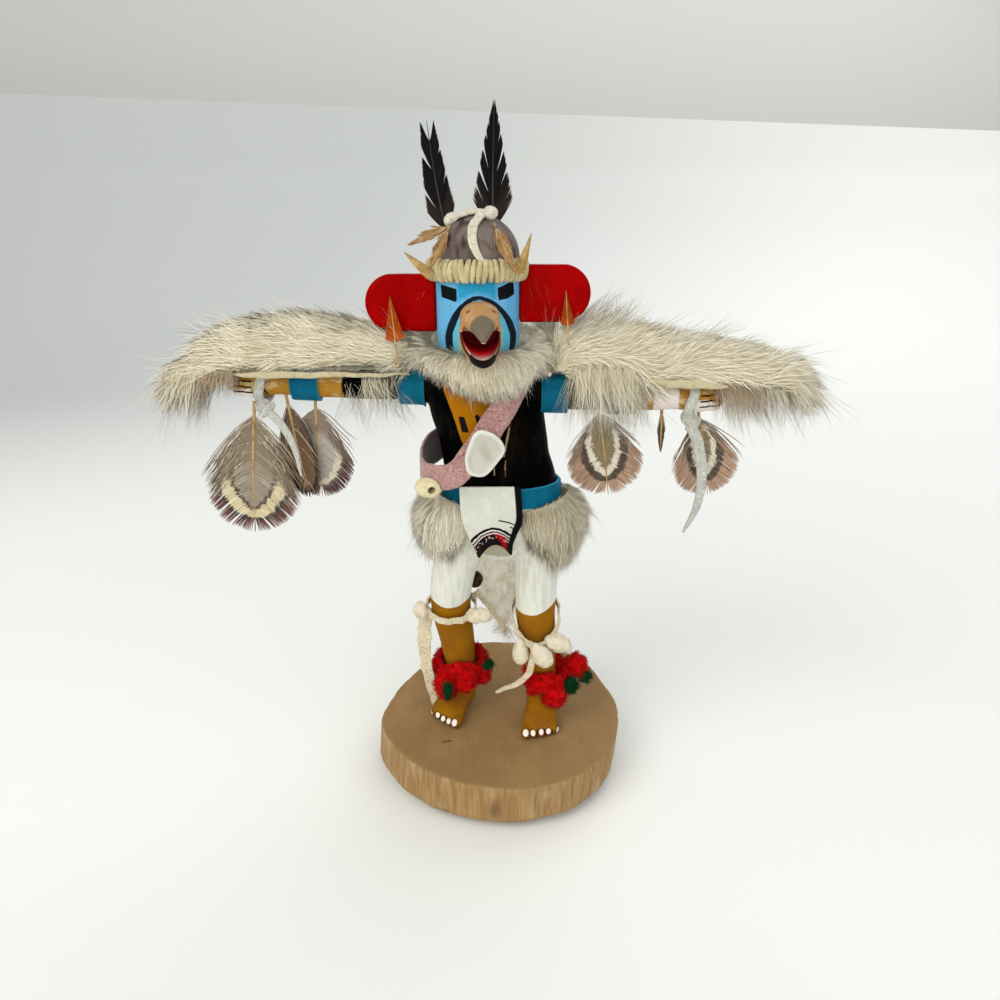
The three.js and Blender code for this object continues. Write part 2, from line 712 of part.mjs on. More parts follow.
// Red wool wound round the ankle and bunched into tufts.
const TUFTS = {
  left: {
    x: -14.8,
    y: 3.6,
    bunches: [[[-19.8, -5.4, 12.6], 5], [[-12.6, -5.8, 15.4], 4.8], [[-6.4, -0.6, 14.4], 3.6]],
  },
  right: {
    x: 15.3,
    y: -3,
    bunches: [[[19.6, -11, 12.4], 4.8], [[28, -3, 20], 4.8], [[10.6, -9, 16.6], 4]],
  },
};
function tuft({ x, y, bunches }, grow) {
  const rings = loopRings(8, (a) => ({
    at: at(x + 8.4 * Math.sin(a), y - 8.4 * Math.cos(a), 16.4 + 1.6 * Math.cos(3 * a)),
    wide: 4.6 * U,
    deep: (3 + 0.7 * Math.cos(5 * a)) * U,
  }));
  const ringed = limb(rings, { section: round(6), facing: outFrom(x, y), closed: true, grow });
  const balls = bunches.map(([p, size]) =>
    ball(at(...p), [size * U, size * U, size * U], { grow }),
  );
  return join(ringed, ...balls);
}
const LEAVES = {
  left_front: [[-19, -10.8, 14.2], [1.8, 1.2, 3.3], 0],
  left_side: [[-4.4, -1.6, 19], [2, 1.4, 1.9], 30],
  right_front: [[26, -8.4, 14.6], [2.7, 1.6, 3], 10],
  right_side: [[31.4, -5, 16.4], [2.2, 1.8, 2.4], 20],
};

// A lace knotted round the hand, with its end hanging down.
const WRIST_LACES = {
  left: {
    x: -76.4,
    y: -0.8,
    z: 124.6,
    knot: [-76, -4.8, 118.2],
    tail: [[-76, -5.4, 118], [-70.6, -7.6, 112.6], [-66.6, -9, 104.6], [-65, -9.4, 96]],
  },
  right: {
    x: 60.4,
    y: -4.7,
    z: 120.8,
    knot: [60.4, -6.6, 114.8],
    tail: [[60.4, -7.4, 114.4], [63.6, -10, 107], [65.6, -10.4, 97], [64.8, -10.4, 86], [61.2, -10, 76.4]],
  },
};
function wristLace({ x, y, z, knot, tail }, grow) {
  const r = 5.2;
  const rings = loopRings(12, (a) => ({
    at: at(x, y + r * 0.92 * Math.sin(a), z + r * 1.05 * Math.cos(a)),
    wide: LACE_WIDTH / 2,
    deep: LEATHER / 2,
  }));
  const facing = (p) => p.clone().sub(at(x, y, z)).setX(0);
  const loop = limb(rings, { section: FLAT, facing, closed: true, grow });
  const tie = ball(at(...knot), [2.2 * U, 1.8 * U, 1.8 * U], { grow });
  return join(loop, tie, lace(tail, LACE_WIDTH, { taper: 0.35, grow }));
}

// Colours of the paint, leather, feathers and wool.
const finish = (color, roughness = 0.7) => new THREE.MeshStandardMaterial({ color, roughness, metalness: 0 });
const WOOD = finish(0xa98b63, 0.85);
const BODY_PAINT = finish(0x18181a, 0.45);
const RED_PAINT = finish(0xb01212, 0.35);
const BLUE_LEATHER = finish(0x1c86b4, 0.45);
const BEAK_PAINT = finish(0xb89a6c, 0.5);
const YARN = finish(0xe4dcb4, 0.9);
const SUEDE = finish(0xd8cdb6, 0.9);
const WHITE_FUR = finish(0xe6dcc6, 0.95);
const BLACK_FEATHER = finish(0x141214, 0.6);
const BROWN_FEATHER = finish(0x8a6f5a, 0.75);
const AMBER_FEATHER = finish(0xb07a35, 0.7);
const WHITE_PAINT = finish(0xe9ebe4, 0.5);
const PINK_SUEDE = finish(0xc08f8c, 0.95);
const PEARL = finish(0xf0eee6, 0.25);
const BEAD_WOOD = finish(0xddd0aa, 0.5);
const BELL_BROWN = finish(0x2c1c16, 0.35);
const RED_WOOL = finish(0xc4141a, 0.95);
const GREEN_FELT = finish(0x123a20, 0.95);

// Every piece: how it is formed, the pieces that it makes room for, and its finish. Each one is cut by
// those it rests on, which are formed again a little larger so that the two keep the gap.
const PIECES = new Map();
const piece = (name, form, room, material) => PIECES.set(name, { form, room, material });

piece("headband", headband, [], YARN);
piece("crown_lace", crownLace, ["headband"], SUEDE);
["left", "right"].forEach((side, i) => {
  const sign = i ? 1 : -1;
  piece(`ear_${side}`, (g) => ear(sign, i ? EYE_LINE + 3.8 : EYE_LINE + 1, g), ["headband"], RED_PAINT);
  piece(`crest_feather_${side}`, (g) => feather(CREST[i], g), ["crown_lace", "headband"], BLACK_FEATHER);
});
const crownPieces = ["headband", "crown_lace", "crest_feather_left", "crest_feather_right"];
["brow_plume_outer", "brow_plume_left", "brow_plume_right"].forEach((name, i) => {
  const earlier = i ? ["brow_plume_outer"] : [];
  const facing = outFromCrown;
  piece(name, (g) => feather({ ...BROW[i], facing }, g), [...crownPieces, ...earlier], BROWN_FEATHER);
});
["left", "right"].forEach((side, i) => {
  const room = ["headband", `ear_${side}`, "brow_plume_left", "brow_plume_right", "brow_plume_outer"];
  piece(`temple_plume_${side}`, (g) => feather(TEMPLE[i], g), room, AMBER_FEATHER);
});
piece("beak", beak, [], BEAK_PAINT);
["left", "right"].forEach((side) => {
  const band = BANDS[side];
  piece(`armband_${side}`, (g) => armBand(band, band.upper, ARMBAND_WIDTH, g), [], BLUE_LEATHER);
  piece(`wristband_${side}`, (g) => armBand(band, band.wrist, WRISTBAND_WIDTH, g), [], BLUE_LEATHER);
});
piece("belt", belt, [], BLUE_LEATHER);
piece("breechcloth", breechcloth, ["belt"], WHITE_PAINT);
piece("bandolier", bandolier, ["belt", "breechcloth", "armband_right"], PINK_SUEDE);
piece("shell_disc", shellDisc, ["bandolier"], PEARL);
piece("bandolier_bead", bead, ["bandolier", "belt"], BEAD_WOOD);
["left", "right"].forEach((side, i) => {
  const room = [`ear_${side}`, `armband_${side}`];
  piece(`ear_plume_${side}`, (g) => feather(EAR_PLUMES[i], g), room, AMBER_FEATHER);
});
const underCollar = ["beak", "bandolier", "ear_plume_left", "ear_left"];
piece("fur_collar", collar, [...underCollar, "armband_left", "armband_right"], WHITE_FUR);
["left", "right"].forEach((side, i) => {
  const under = [`armband_${side}`, `wristband_${side}`, `ear_${side}`, `ear_plume_${side}`];
  const room = [...under, "fur_collar", "bandolier", "temple_plume_left"];
  piece(`fur_wing_${side}`, wing(WINGS[i]), room, WHITE_FUR);
  piece(`wrist_lace_${side}`, (g) => wristLace(WRIST_LACES[side], g), [`fur_wing_${side}`], SUEDE);
});
for (const [name, shape] of Object.entries(WING_FEATHERS)) {
  const side = name.split("_")[0];
  const hung = Object.keys(WING_FEATHERS).filter((other) => other.startsWith(side));
  const before = hung.slice(0, hung.indexOf(name)).map((other) => `wing_feather_${other}`);
  const room = [`wrist_lace_${side}`, `wristband_${side}`, `fur_wing_${side}`, ...before];
  piece(`wing_feather_${name}`, (g) => feather(shape, g), room, BROWN_FEATHER);
}
const aroundHips = ["belt", "breechcloth", "bandolier", "bandolier_bead"];
piece("hip_fur_left", (g) => hipFur(-1, g), aroundHips, WHITE_FUR);
piece("hip_fur_right", (g) => hipFur(1, g), aroundHips, WHITE_FUR);
piece("tail_fur", tailFur, ["belt", "hip_fur_left", "hip_fur_right", "bandolier"], WHITE_FUR);
for (const [side, shape] of Object.entries(GARTERS)) {
  piece(`garter_${side}`, (g) => garter(shape, g), ["tail_fur"], SUEDE);
}
for (const [name, shape] of Object.entries(SHELLS)) {
  const side = name.split("_")[0];
  const before = name === "right_middle" ? ["garter_shell_right_inner"] : [];
  piece(`garter_shell_${name}`, shell(shape), [`garter_${side}`, ...before], PEARL);
}
const bell = (grow) => {
  const half = BELL_DIAMETER / 2;
  return ball(at(-9.4, 9.6, 49), [half, half, half], { around: 10, rows: 7, grow });
};
piece("knee_bell", bell, ["garter_left", "tail_fur"], BELL_BROWN);
for (const [name, shape] of Object.entries(LEAVES)) {
  const side = name.split("_")[0];
  piece(`felt_leaf_${name}`, shell(shape), [`garter_${side}`], GREEN_FELT);
}
for (const [side, shape] of Object.entries(TUFTS)) {
  const leaves = Object.keys(LEAVES).filter((name) => name.startsWith(side));
  const shells = Object.keys(SHELLS).filter((name) => name.startsWith(side));
  const room = [
    `garter_${side}`,
    ...leaves.map((name) => `felt_leaf_${name}`),
    ...shells.map((name) => `garter_shell_${name}`),
  ];
  piece(`ankle_tuft_${side}`, (g) => tuft(shape, g), room, RED_WOOL);
}

// The largest body of a solid: a cut can leave a sliver of a piece on the far side of what cut it.
// Corners closer to the surface than the tolerance are then dropped, more of them in a soft piece.
const TOLERANCE = 0.1;
const SOFT_TOLERANCE = 0.2;
function mainBody(solid, tolerance = TOLERANCE) {
  const largest = solid.decompose().reduce((best, body) => (body.volume() > best.volume() ? body : best));
  return largest.simplify(tolerance);
}

// The scene: the base at the origin, and the figure with all that it wears in a group that stands on it.
const dancer = new THREE.Group();
const standing = new THREE.Group();
standing.position.z = BASE_THICKNESS;
dancer.add(standing);
function show(name, solid, material, parent) {
  const made = solid.getMesh();
  const geometry = new THREE.BufferGeometry();
  geometry.setAttribute("position", new THREE.BufferAttribute(made.vertProperties, made.numProp));
  geometry.setIndex(new THREE.BufferAttribute(made.triVerts, 1));
  geometry.computeVertexNormals();
  const mesh = new THREE.Mesh(geometry, material);
  mesh.name = name;
  parent.add(mesh);
}

show("base", base(), WOOD, dancer);
show("carved_figure", carvedFigure(), BODY_PAINT, standing);
const aboveBase = slabZ(FIT_GAP, FAR);
for (const [name, { form, room, material }] of PIECES) {
  const cutters = room.map((other) => PIECES.get(other).form(FIT_GAP));
  const cut = cutters.reduce((rest, other) => rest.subtract(other), form(0).subtract(figureWithRoom));
  const soft = [WHITE_FUR, RED_WOOL, YARN].includes(material);
  const tolerance = soft ? SOFT_TOLERANCE : TOLERANCE;
  show(name, mainBody(cut.intersect(aboveBase), tolerance), material, standing);
}

export default dancer;
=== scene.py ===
# %% [markdown]
# # A carved and painted dancer in a bird mask
# The real object is a small wooden figure on a slice of branch, dressed in fur, feathers, leather and
# wool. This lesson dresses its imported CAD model, the frame, piece by piece. Everything is in metres, with
# +Z up and the dancer facing -Y, but the tables below are in millimetres, because that is how a carver
# would measure them.

import math

import bpy
import bmesh
import numpy as np
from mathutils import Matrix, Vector, noise
from mathutils.bvhtree import BVHTree


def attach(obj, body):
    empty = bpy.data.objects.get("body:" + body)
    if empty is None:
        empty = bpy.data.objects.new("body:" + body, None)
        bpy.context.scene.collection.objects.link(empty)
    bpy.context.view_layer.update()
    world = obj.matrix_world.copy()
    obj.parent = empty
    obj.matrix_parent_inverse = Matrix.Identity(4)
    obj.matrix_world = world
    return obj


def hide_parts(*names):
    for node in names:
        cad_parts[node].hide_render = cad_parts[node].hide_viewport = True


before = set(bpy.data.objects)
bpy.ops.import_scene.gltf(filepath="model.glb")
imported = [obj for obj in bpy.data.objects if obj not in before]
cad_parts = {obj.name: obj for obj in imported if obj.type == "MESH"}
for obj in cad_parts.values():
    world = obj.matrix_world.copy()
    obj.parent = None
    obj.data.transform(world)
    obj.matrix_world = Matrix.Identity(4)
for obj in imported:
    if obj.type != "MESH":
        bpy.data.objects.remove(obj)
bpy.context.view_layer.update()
MM = 0.001
print(len(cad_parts), "CAD nodes")

# %% [markdown]
# ## Camera
# The camera comes first, so that every later step can be looked at from the same place. Its place and its
# focal length were fitted to the rim of the base and to the upright figure.

# %% Camera
camera = bpy.data.objects.new("camera", bpy.data.cameras.new("camera"))
bpy.context.scene.collection.objects.link(camera)
camera.location = (0, -0.2410, 0.1896)
camera.rotation_euler = (math.radians(90 - 20.79), 0, 0)
camera.data.sensor_width = 36
camera.data.lens = 27.04
bpy.context.scene.camera = camera

# %% [markdown]
# ## Helpers for meshes
# A piece is made of points and faces in millimetres. `smooth_path` draws a curve through a few points,
# `tube` skins rings strung along such a curve, and `piece` turns points and faces into an object.

# %% Points, paths and rings
def smooth_path(points, count, closed=False):
    """A centripetal Catmull-Rom curve through the points, as `count` points of its own."""
    points = np.asarray(points, float)
    total = len(points)
    spans = total if closed else total - 1
    found = []
    for s in np.linspace(0, spans, count, endpoint=not closed):
        i = min(int(s), spans - 1)
        w = s - i
        p1, p2 = points[i % total], points[(i + 1) % total]
        p0 = points[i - 1] if closed or i > 0 else 2 * p1 - p2
        p3 = points[(i + 2) % total] if closed or i + 2 < total else 2 * p2 - p1
        d0, d1, d2 = (max(np.linalg.norm(b - a), 1e-6) ** 0.5 for a, b in ((p0, p1), (p1, p2), (p2, p3)))
        m1 = ((p1 - p0) / d0 - (p2 - p0) / (d0 + d1) + (p2 - p1) / d1) * d1
        m2 = ((p2 - p1) / d1 - (p3 - p1) / (d1 + d2) + (p3 - p2) / d2) * d1
        found.append(p1 + m1 * w + (-3 * p1 + 3 * p2 - 2 * m1 - m2) * w**2 + (2 * p1 - 2 * p2 + m1 + m2)
                     * w**3)
    return np.array(found)


def circle(count):
    a = np.linspace(0, 2 * math.pi, count, endpoint=False)
    return np.stack([np.cos(a), np.sin(a)], 1)


def skin(rows, closed=False):
    """Faces between rows of points, with a fan over each open end."""
    rows = np.asarray(rows)
    n, m = rows.shape[:2]
    points = rows.reshape(-1, 3)
    faces = []
    for i in range(n if closed else n - 1):
        k = (i + 1) % n
        for j in range(m):
            l = (j + 1) % m
            faces.append((i * m + j, i * m + l, k * m + l, k * m + j))
    if not closed:
        ends = np.array([rows[0].mean(0), rows[-1].mean(0)])
        for j in range(m):
            l = (j + 1) % m
            faces.append((n * m, l, j))
            faces.append((n * m + 1, (n - 1) * m + j, (n - 1) * m + l))
        points = np.vstack([points, ends])
    return points, faces


def tube(rings, steps, section=None, facing=(0, 1, 0), closed=False):
    """A body of rings [x, y, z, half-width, half-depth] along a smooth path. Depth lies along `facing`."""
    rings = np.asarray(rings, float)
    section = circle(28) if section is None else np.asarray(section)
    path = smooth_path(rings[:, :3], steps, closed)
    size = smooth_path(rings[:, 3:5], steps, closed)
    along = np.roll(path, -1, 0) - np.roll(path, 1, 0) if closed else np.gradient(path, axis=0)
    along /= np.linalg.norm(along, axis=1)[:, None]
    rows = []
    for p, t, (wide, deep) in zip(path, along, size):
        d = np.asarray(facing(p) if callable(facing) else facing, float)
        d = d - t * d.dot(t)
        d /= np.linalg.norm(d)
        w = np.cross(d, t)
        rows.append([p + w * u * wide + d * v * deep for u, v in section])
    return skin(rows, closed)


def together(*shapes):
    """Several (points, faces) as one."""
    points, faces, start = [], [], 0
    for some, theirs in shapes:
        points.append(some)
        faces += [tuple(i + start for i in face) for face in theirs]
        start += len(some)
    return np.vstack(points), faces


def ellipsoid(centre, half, turn=0, around=20, rows=12):
    a = math.radians(turn)
    tall = np.linspace(-math.pi / 2, math.pi / 2, rows)
    ring = circle(around)
    body = []
    for t in tall[1:-1]:
        x, y = ring[:, 0] * math.cos(t) * half[0], ring[:, 1] * math.cos(t) * half[1]
        z = np.full(around, math.sin(t) * half[2])
        body.append(np.stack([x * math.cos(a) - y * math.sin(a), x * math.sin(a) + y * math.cos(a), z], 1))
    points, faces = skin(body)
    points[-2], points[-1] = (0, 0, -half[2]), (0, 0, half[2])
    return points + np.asarray(centre), faces


# %% Objects
def piece(name, shape, finish=None, smooth=True):
    """An object at the origin, from points in millimetres."""
    points, faces = shape
    mesh = bpy.data.meshes.new(name)
    mesh.from_pydata((np.asarray(points) * MM).tolist(), [], faces)
    mesh.validate()
    made = bpy.data.objects.new(name, mesh)
    bpy.context.scene.collection.objects.link(made)
    if finish:
        mesh.materials.append(finish)
    mesh.polygons.foreach_set("use_smooth", [smooth] * len(mesh.polygons))
    return made


def applied(made):
    """The object's modifiers become its mesh."""
    graph = bpy.context.evaluated_depsgraph_get()
    mesh = bpy.data.meshes.new_from_object(made.evaluated_get(graph), preserve_all_data_layers=True,
                                           depsgraph=graph)
    made.modifiers.clear()
    old, made.data = made.data, mesh
    bpy.data.meshes.remove(old)
    return made


def modified(made, kind, **settings):
    modifier = made.modifiers.new(kind.lower(), kind)
    for key, value in settings.items():
        setattr(modifier, key, value)
    return made


def rounded(made, voxel, passes=4, factor=0.5):
    """Overlapping closed bodies become one skin, with soft edges."""
    modified(made, "REMESH", mode="VOXEL", voxel_size=voxel * MM, use_smooth_shade=True)
    if passes:
        modified(made, "SMOOTH", factor=factor, iterations=passes)
    return applied(made)


def copy_of(node, name=None):
    """A CAD node's shape as a new, merged object at the origin."""
    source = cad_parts[node]
    graph = bpy.context.evaluated_depsgraph_get()
    mesh = bpy.data.meshes.new_from_object(source.evaluated_get(graph), depsgraph=graph)
    mesh.transform(source.matrix_world)
    made = bpy.data.objects.new(name or node + "_dressed", mesh)
    bpy.context.scene.collection.objects.link(made)
    work = bmesh.new()
    work.from_mesh(mesh)
    bmesh.ops.remove_doubles(work, verts=work.verts, dist=1e-6)
    work.to_mesh(mesh)
    work.free()
    mesh.materials.clear()
    return made


def corners(made):
    """The points of an object's mesh in millimetres."""
    found = np.empty(len(made.data.vertices) * 3, np.float32)
    made.data.vertices.foreach_get("co", found)
    return found.reshape(-1, 3).astype(float) / MM


def normals(made):
    found = np.empty(len(made.data.vertices) * 3, np.float32)
    made.data.vertices.foreach_get("normal", found)
    return found.reshape(-1, 3).astype(float)


def moved(made, points):
    made.data.vertices.foreach_set("co", (np.asarray(points) * MM).astype(np.float32).ravel())
    made.data.update()
    return made


def keep(made, name, values):
    """Stores a number or a direction at each point of the mesh, for a material or a tree to read."""
    values = np.asarray(values, np.float32)
    kind = "FLOAT" if values.ndim == 1 else "FLOAT_VECTOR"
    layer = made.data.attributes.new(name, kind, "POINT")
    layer.data.foreach_set("value" if values.ndim == 1 else "vector", values.ravel())
    return made


def dress(made, finish, node=None, *more, slot=None):
    """The piece gets its finish, stands for its CAD nodes and rides on the one body."""
    if finish:
        made.data.materials.clear()
        made.data.materials.append(finish)
        made.data.polygons.foreach_set("material_index", [0] * len(made.data.polygons))
    if node:
        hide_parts(node, *more)
    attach(made, "root")
    print(f"{made.name}: {len(made.data.polygons)} faces")
    return made


def rough_noise(points, scale, seed=0.0):
    """Smooth noise from -1 to 1 at each point; scale is the size of its lumps in millimetres."""
    return np.array([noise.noise(Vector(p) / scale + Vector((seed, seed, seed))) for p in points])


# %% [markdown]
# ## Helpers for materials
# A material is a node tree. `Finish` starts one from what its surface is, and `node` adds any node with
# its settings and its links. Colours are written in sRGB hex, as a paint maker would, and turned to linear
# light by `linear`. Paint edges come from distances in millimetres stored on the mesh, so that they stay
# crisp however coarse the mesh is.

# %% Materials
def linear(hexed):
    s = [int(hexed[i : i + 2], 16) / 255 for i in (1, 3, 5)]
    return tuple(c / 12.92 if c <= 0.04045 else ((c + 0.055) / 1.055) ** 2.4 for c in s) + (1.0,)


class Finish:
    """A Principled material whose colour and height are built up in layers."""

    def __init__(self, name, colour, roughness, **settings):
        self.material = bpy.data.materials.new(name)
        self.material.use_nodes = True
        self.tree = self.material.node_tree
        self.shader = next(n for n in self.tree.nodes if n.type == "BSDF_PRINCIPLED")
        self.shader.inputs["Base Color"].default_value = linear(colour)
        self.shader.inputs["Roughness"].default_value = roughness
        for key, value in settings.items():
            self.shader.inputs[key.replace("_", " ").title().replace("Ior", "IOR")].default_value = value
        self.colour = linear(colour)
        self.height = None

    def node(self, kind, links=None, **settings):
        """Adds a node; a link's value may be another socket or a plain value."""
        made = self.tree.nodes.new(kind)
        for key, value in settings.items():
            setattr(made, key, value)
        for key, value in (links or {}).items():
            socket = made.inputs[key]
            if isinstance(value, bpy.types.NodeSocket):
                self.tree.links.new(value, socket)
            else:
                socket.default_value = value
        return made

    def math(self, operation, a, b=0.0, c=0.0):
        return self.node("ShaderNodeMath", {0: a, 1: b, 2: c}, operation=operation).outputs[0]

    def attribute(self, name, output="Fac"):
        return self.node("ShaderNodeAttribute", attribute_name=name).outputs[output]

    def place(self, scale=(1, 1, 1), turn=(0, 0, 0)):
        """Object coordinates in millimetres, stretched by `scale`."""
        where = self.node("ShaderNodeTexCoord").outputs["Object"]
        links = {"Vector": where, "Scale": [s / MM for s in scale], "Rotation": turn}
        return self.node("ShaderNodeMapping", links).outputs[0]

    def noise(self, size, detail=3.0, stretch=(1, 1, 1), turn=(0, 0, 0), rough=0.55, twist=0.0):
        """Noise whose lumps are `size` millimetres across."""
        where = self.place([s / size for s in stretch], turn)
        links = {"Vector": where, "Scale": 1.0, "Detail": detail, "Roughness": rough, "Distortion": twist}
        return self.node("ShaderNodeTexNoise", links).outputs["Fac"]

    def between(self, value, low, high, to_low=0.0, to_high=1.0):
        """Maps a value from low..high to 0..1, smoothly and clamped."""
        links = {"Value": value, "From Min": low, "From Max": high, "To Min": to_low, "To Max": to_high}
        return self.node("ShaderNodeMapRange", links, interpolation_type="SMOOTHSTEP").outputs[0]

    def layer(self, colour, amount):
        """Lays a colour over what is there, by an amount from 0 to 1."""
        mix = self.node("ShaderNodeMix", {"Factor": amount}, data_type="RGBA")
        for socket, value in ((mix.inputs[6], self.colour), (mix.inputs[7], colour)):
            if isinstance(value, bpy.types.NodeSocket):
                self.tree.links.new(value, socket)
            else:
                socket.default_value = linear(value) if isinstance(value, str) else value
        self.colour = mix.outputs[2]
        return self

    def paint(self, colour, name, edge=0.12, wobble=0.12):
        """Paints where the stored distance is below zero, with the small waver of a brushed edge."""
        distance = self.attribute(name)
        if wobble:
            waver = self.math("MULTIPLY_ADD", self.noise(1.6, 2.0), 2 * wobble, -wobble)
            distance = self.math("ADD", distance, waver)
        return self.layer(colour, self.between(distance, -edge, edge, 1.0, 0.0))

    def raise_by(self, value, amount):
        """Adds value * amount millimetres to the height that the bump reads."""
        step = self.math("MULTIPLY", value, amount * MM)
        self.height = step if self.height is None else self.math("ADD", self.height, step)
        return self

    def vary_roughness(self, value, low, high):
        self.tree.links.new(self.between(value, 0.3, 0.7, low, high), self.shader.inputs["Roughness"])
        return self

    def soft(self, share=0.75):
        """Shades hairs mostly by the skin they grow on, so that the pile looks soft instead of sharp."""
        skin_way = self.attribute("lay", "Vector")
        skin_way = self.node("ShaderNodeVectorMath", {0: skin_way, "Scale": share},
                             operation="SCALE").outputs[0]
        own = self.node("ShaderNodeNewGeometry").outputs["Normal"]
        own = self.node("ShaderNodeVectorMath", {0: own, "Scale": 1 - share}, operation="SCALE").outputs[0]
        both = self.node("ShaderNodeVectorMath", {0: skin_way, 1: own}, operation="ADD").outputs[0]
        both = self.node("ShaderNodeVectorMath", {0: both}, operation="NORMALIZE").outputs[0]
        self.tree.links.new(both, self.shader.inputs["Normal"])
        return self

    def done(self):
        """The finished material."""
        if isinstance(self.colour, bpy.types.NodeSocket):
            self.tree.links.new(self.colour, self.shader.inputs["Base Color"])
        if self.height is not None:
            links = {"Height": self.height, "Strength": 1.0, "Distance": 1.0}
            made = self.node("ShaderNodeBump", links)
            self.tree.links.new(made.outputs[0], self.shader.inputs["Normal"])
        return self.material


# %% [markdown]
# ## Distances for paint
# A painted shape is an outline in millimetres. Each point of the mesh stores how far it lies from that
# outline, negative inside, and the material turns the zero line into a paint edge.

# %% Distances
def from_outline(points, outline):
    """Signed distance of 2-D points from a closed outline, negative inside."""
    outline = np.asarray(outline, float)
    points = np.asarray(points, float)
    best = np.full(len(points), 1e9)
    inside = np.zeros(len(points), bool)
    for a, b in zip(outline, np.roll(outline, -1, 0)):
        ab = b - a
        t = np.clip(((points - a) @ ab) / max(ab @ ab, 1e-12), 0, 1)
        best = np.minimum(best, np.linalg.norm(points - a - t[:, None] * ab, axis=1))
        crosses = (a[1] > points[:, 1]) != (b[1] > points[:, 1])
        with np.errstate(divide="ignore", invalid="ignore"):
            at = a[0] + (points[:, 1] - a[1]) / (b[1] - a[1]) * ab[0]
        inside ^= crosses & (points[:, 0] < at)
    return np.where(inside, -best, best)


def from_line(points, line, half):
    """Signed distance of 2-D points from a painted stroke of that half-width."""
    line = np.asarray(line, float)
    best = np.full(len(points), 1e9)
    for a, b in zip(line[:-1], line[1:]):
        ab = b - a
        t = np.clip(((points - a) @ ab) / max(ab @ ab, 1e-12), 0, 1)
        best = np.minimum(best, np.linalg.norm(points - a - t[:, None] * ab, axis=1))
    return best - half


def only(distance, where):
    """Keeps a painted shape to the side of the body that it is on."""
    return np.where(where, distance, np.maximum(distance, 3.0))


# %% [markdown]
# ## The slice of branch
# The base is a sawn and sanded slice with its bark stripped off. The saw cut across the fibres, so its top
# shows fine sanding scratches over faint rings, and its side shows the long fibres end to end, with pale
# and dark streaks. The CAD outline is right, so a copy of it gets softly broken edges.

# %% Sawn and sanded pine
pine = Finish("pine_sanded_bare", "#907144", 0.85)
side = pine.node("ShaderNodeNewGeometry").outputs["Normal"]
up = pine.math("ABSOLUTE", pine.node("ShaderNodeSeparateXYZ", {0: side}).outputs[2])
is_top = pine.between(up, 0.55, 0.85)
speck = pine.noise(0.45, 4.0, rough=0.7)
pine.layer("#7d6240", pine.between(speck, 0.5, 0.78, 0.0, 0.55))
pine.layer("#a28253", pine.between(pine.noise(14, 3.0), 0.42, 0.7, 0.0, 0.5))
pine.layer("#86683d", pine.between(pine.noise(2.2, 3.0, stretch=(1, 0.22, 1)), 0.45, 0.72, 0.0, 0.4))
fibres = pine.noise(1.5, 5.0, stretch=(1, 1, 0.1), rough=0.65)
bark_side = pine.node("ShaderNodeMix", {"Factor": pine.between(fibres, 0.3, 0.7)}, data_type="RGBA")
bark_side.inputs[6].default_value = linear("#8a683a")
bark_side.inputs[7].default_value = linear("#a98858")
pine.layer(bark_side.outputs[2], pine.math("SUBTRACT", 1.0, is_top))
not_top = pine.math("SUBTRACT", 1.0, is_top)
bleached = pine.between(pine.noise(9, 2.0, stretch=(1, 1, 0.5)), 0.52, 0.7, 0.0, 0.25)
pine.layer("#d3bfa6", pine.math("MULTIPLY", not_top, bleached))
browned = pine.between(pine.noise(3.4, 4.0, stretch=(1, 1, 0.35)), 0.62, 0.78, 0.0, 0.4)
pine.layer("#6f4f33", pine.math("MULTIPLY", not_top, browned))
soaked = pine.math("ADD", pine.attribute("stain"), pine.math("MULTIPLY_ADD", pine.noise(2.5, 4.0), 5.0, -2.5))
pine.layer("#5a4028", pine.between(soaked, -2.2, 1.6, 0.6, 0.0))
pine.paint("#33241a", "nick", edge=0.25, wobble=0.1)
pine.raise_by(speck, 0.14)
pine.raise_by(pine.math("MULTIPLY", fibres, not_top), 0.5)
pine = pine.done()

# %% Base
BASE_R, BASE_TALL, RIM_POINTS = 45, 14, 192


def rim_of(cad, height):
    """The outline of the slice at a height, drawn through the CAD's corners there."""
    found = corners(cad)
    found = found[np.abs(found[:, 2] - height) < 0.05]
    found = found[np.argsort(np.arctan2(found[:, 1], found[:, 0]))]
    return smooth_path(found, RIM_POINTS, closed=True)


cad = copy_of("base", "rough")
under, above = rim_of(cad, 0), rim_of(cad, BASE_TALL)
bpy.data.objects.remove(cad)
rows = []
for inset, z in [(i, 0) for i in (44, 30, 15, 4, 0.8)] + [(0.25, 0.2), (0, 0.8)]:
    rows.append(under * (1 - inset / BASE_R, 1 - inset / BASE_R, 1) + (0, 0, z))
for share in np.linspace(0.1, 0.9, 12):
    rows.append(under * (1 - share) + above * share)
for inset, z in [(0, -0.8), (0.25, -0.2), (0.8, 0)] + [(i, 0) for i in np.linspace(1.8, 44.6, 46)]:
    rows.append(above * (1 - inset / BASE_R, 1 - inset / BASE_R, 1) + (0, 0, z))
base = piece("branch_slice", skin(rows))
spots = corners(base)
out = spots[:, :2] / np.maximum(np.linalg.norm(spots[:, :2], axis=1), 1)[:, None]
ridge = rough_noise(spots * (1, 1, 0.15), 3.0) * 0.28 + rough_noise(spots * (1, 1, 0.3), 9.0, 4) * 0.35
row = np.arange(len(spots)) // RIM_POINTS
is_rim = (row >= 5) & (row <= 21)
spots[:, :2] += out * (ridge * is_rim)[:, None]
moved(base, spots)
front = spots[:, 1] < -20
stain = np.minimum(
    np.linalg.norm((spots - (-1.5, -45, 5)) / (0.55, 9, 1.0), axis=1) - 3.6,
    np.linalg.norm((spots - (-19, -41, 0.5)) / (1.6, 9, 0.6), axis=1) - 1.6,
)
keep(base, "stain", only(stain, front))
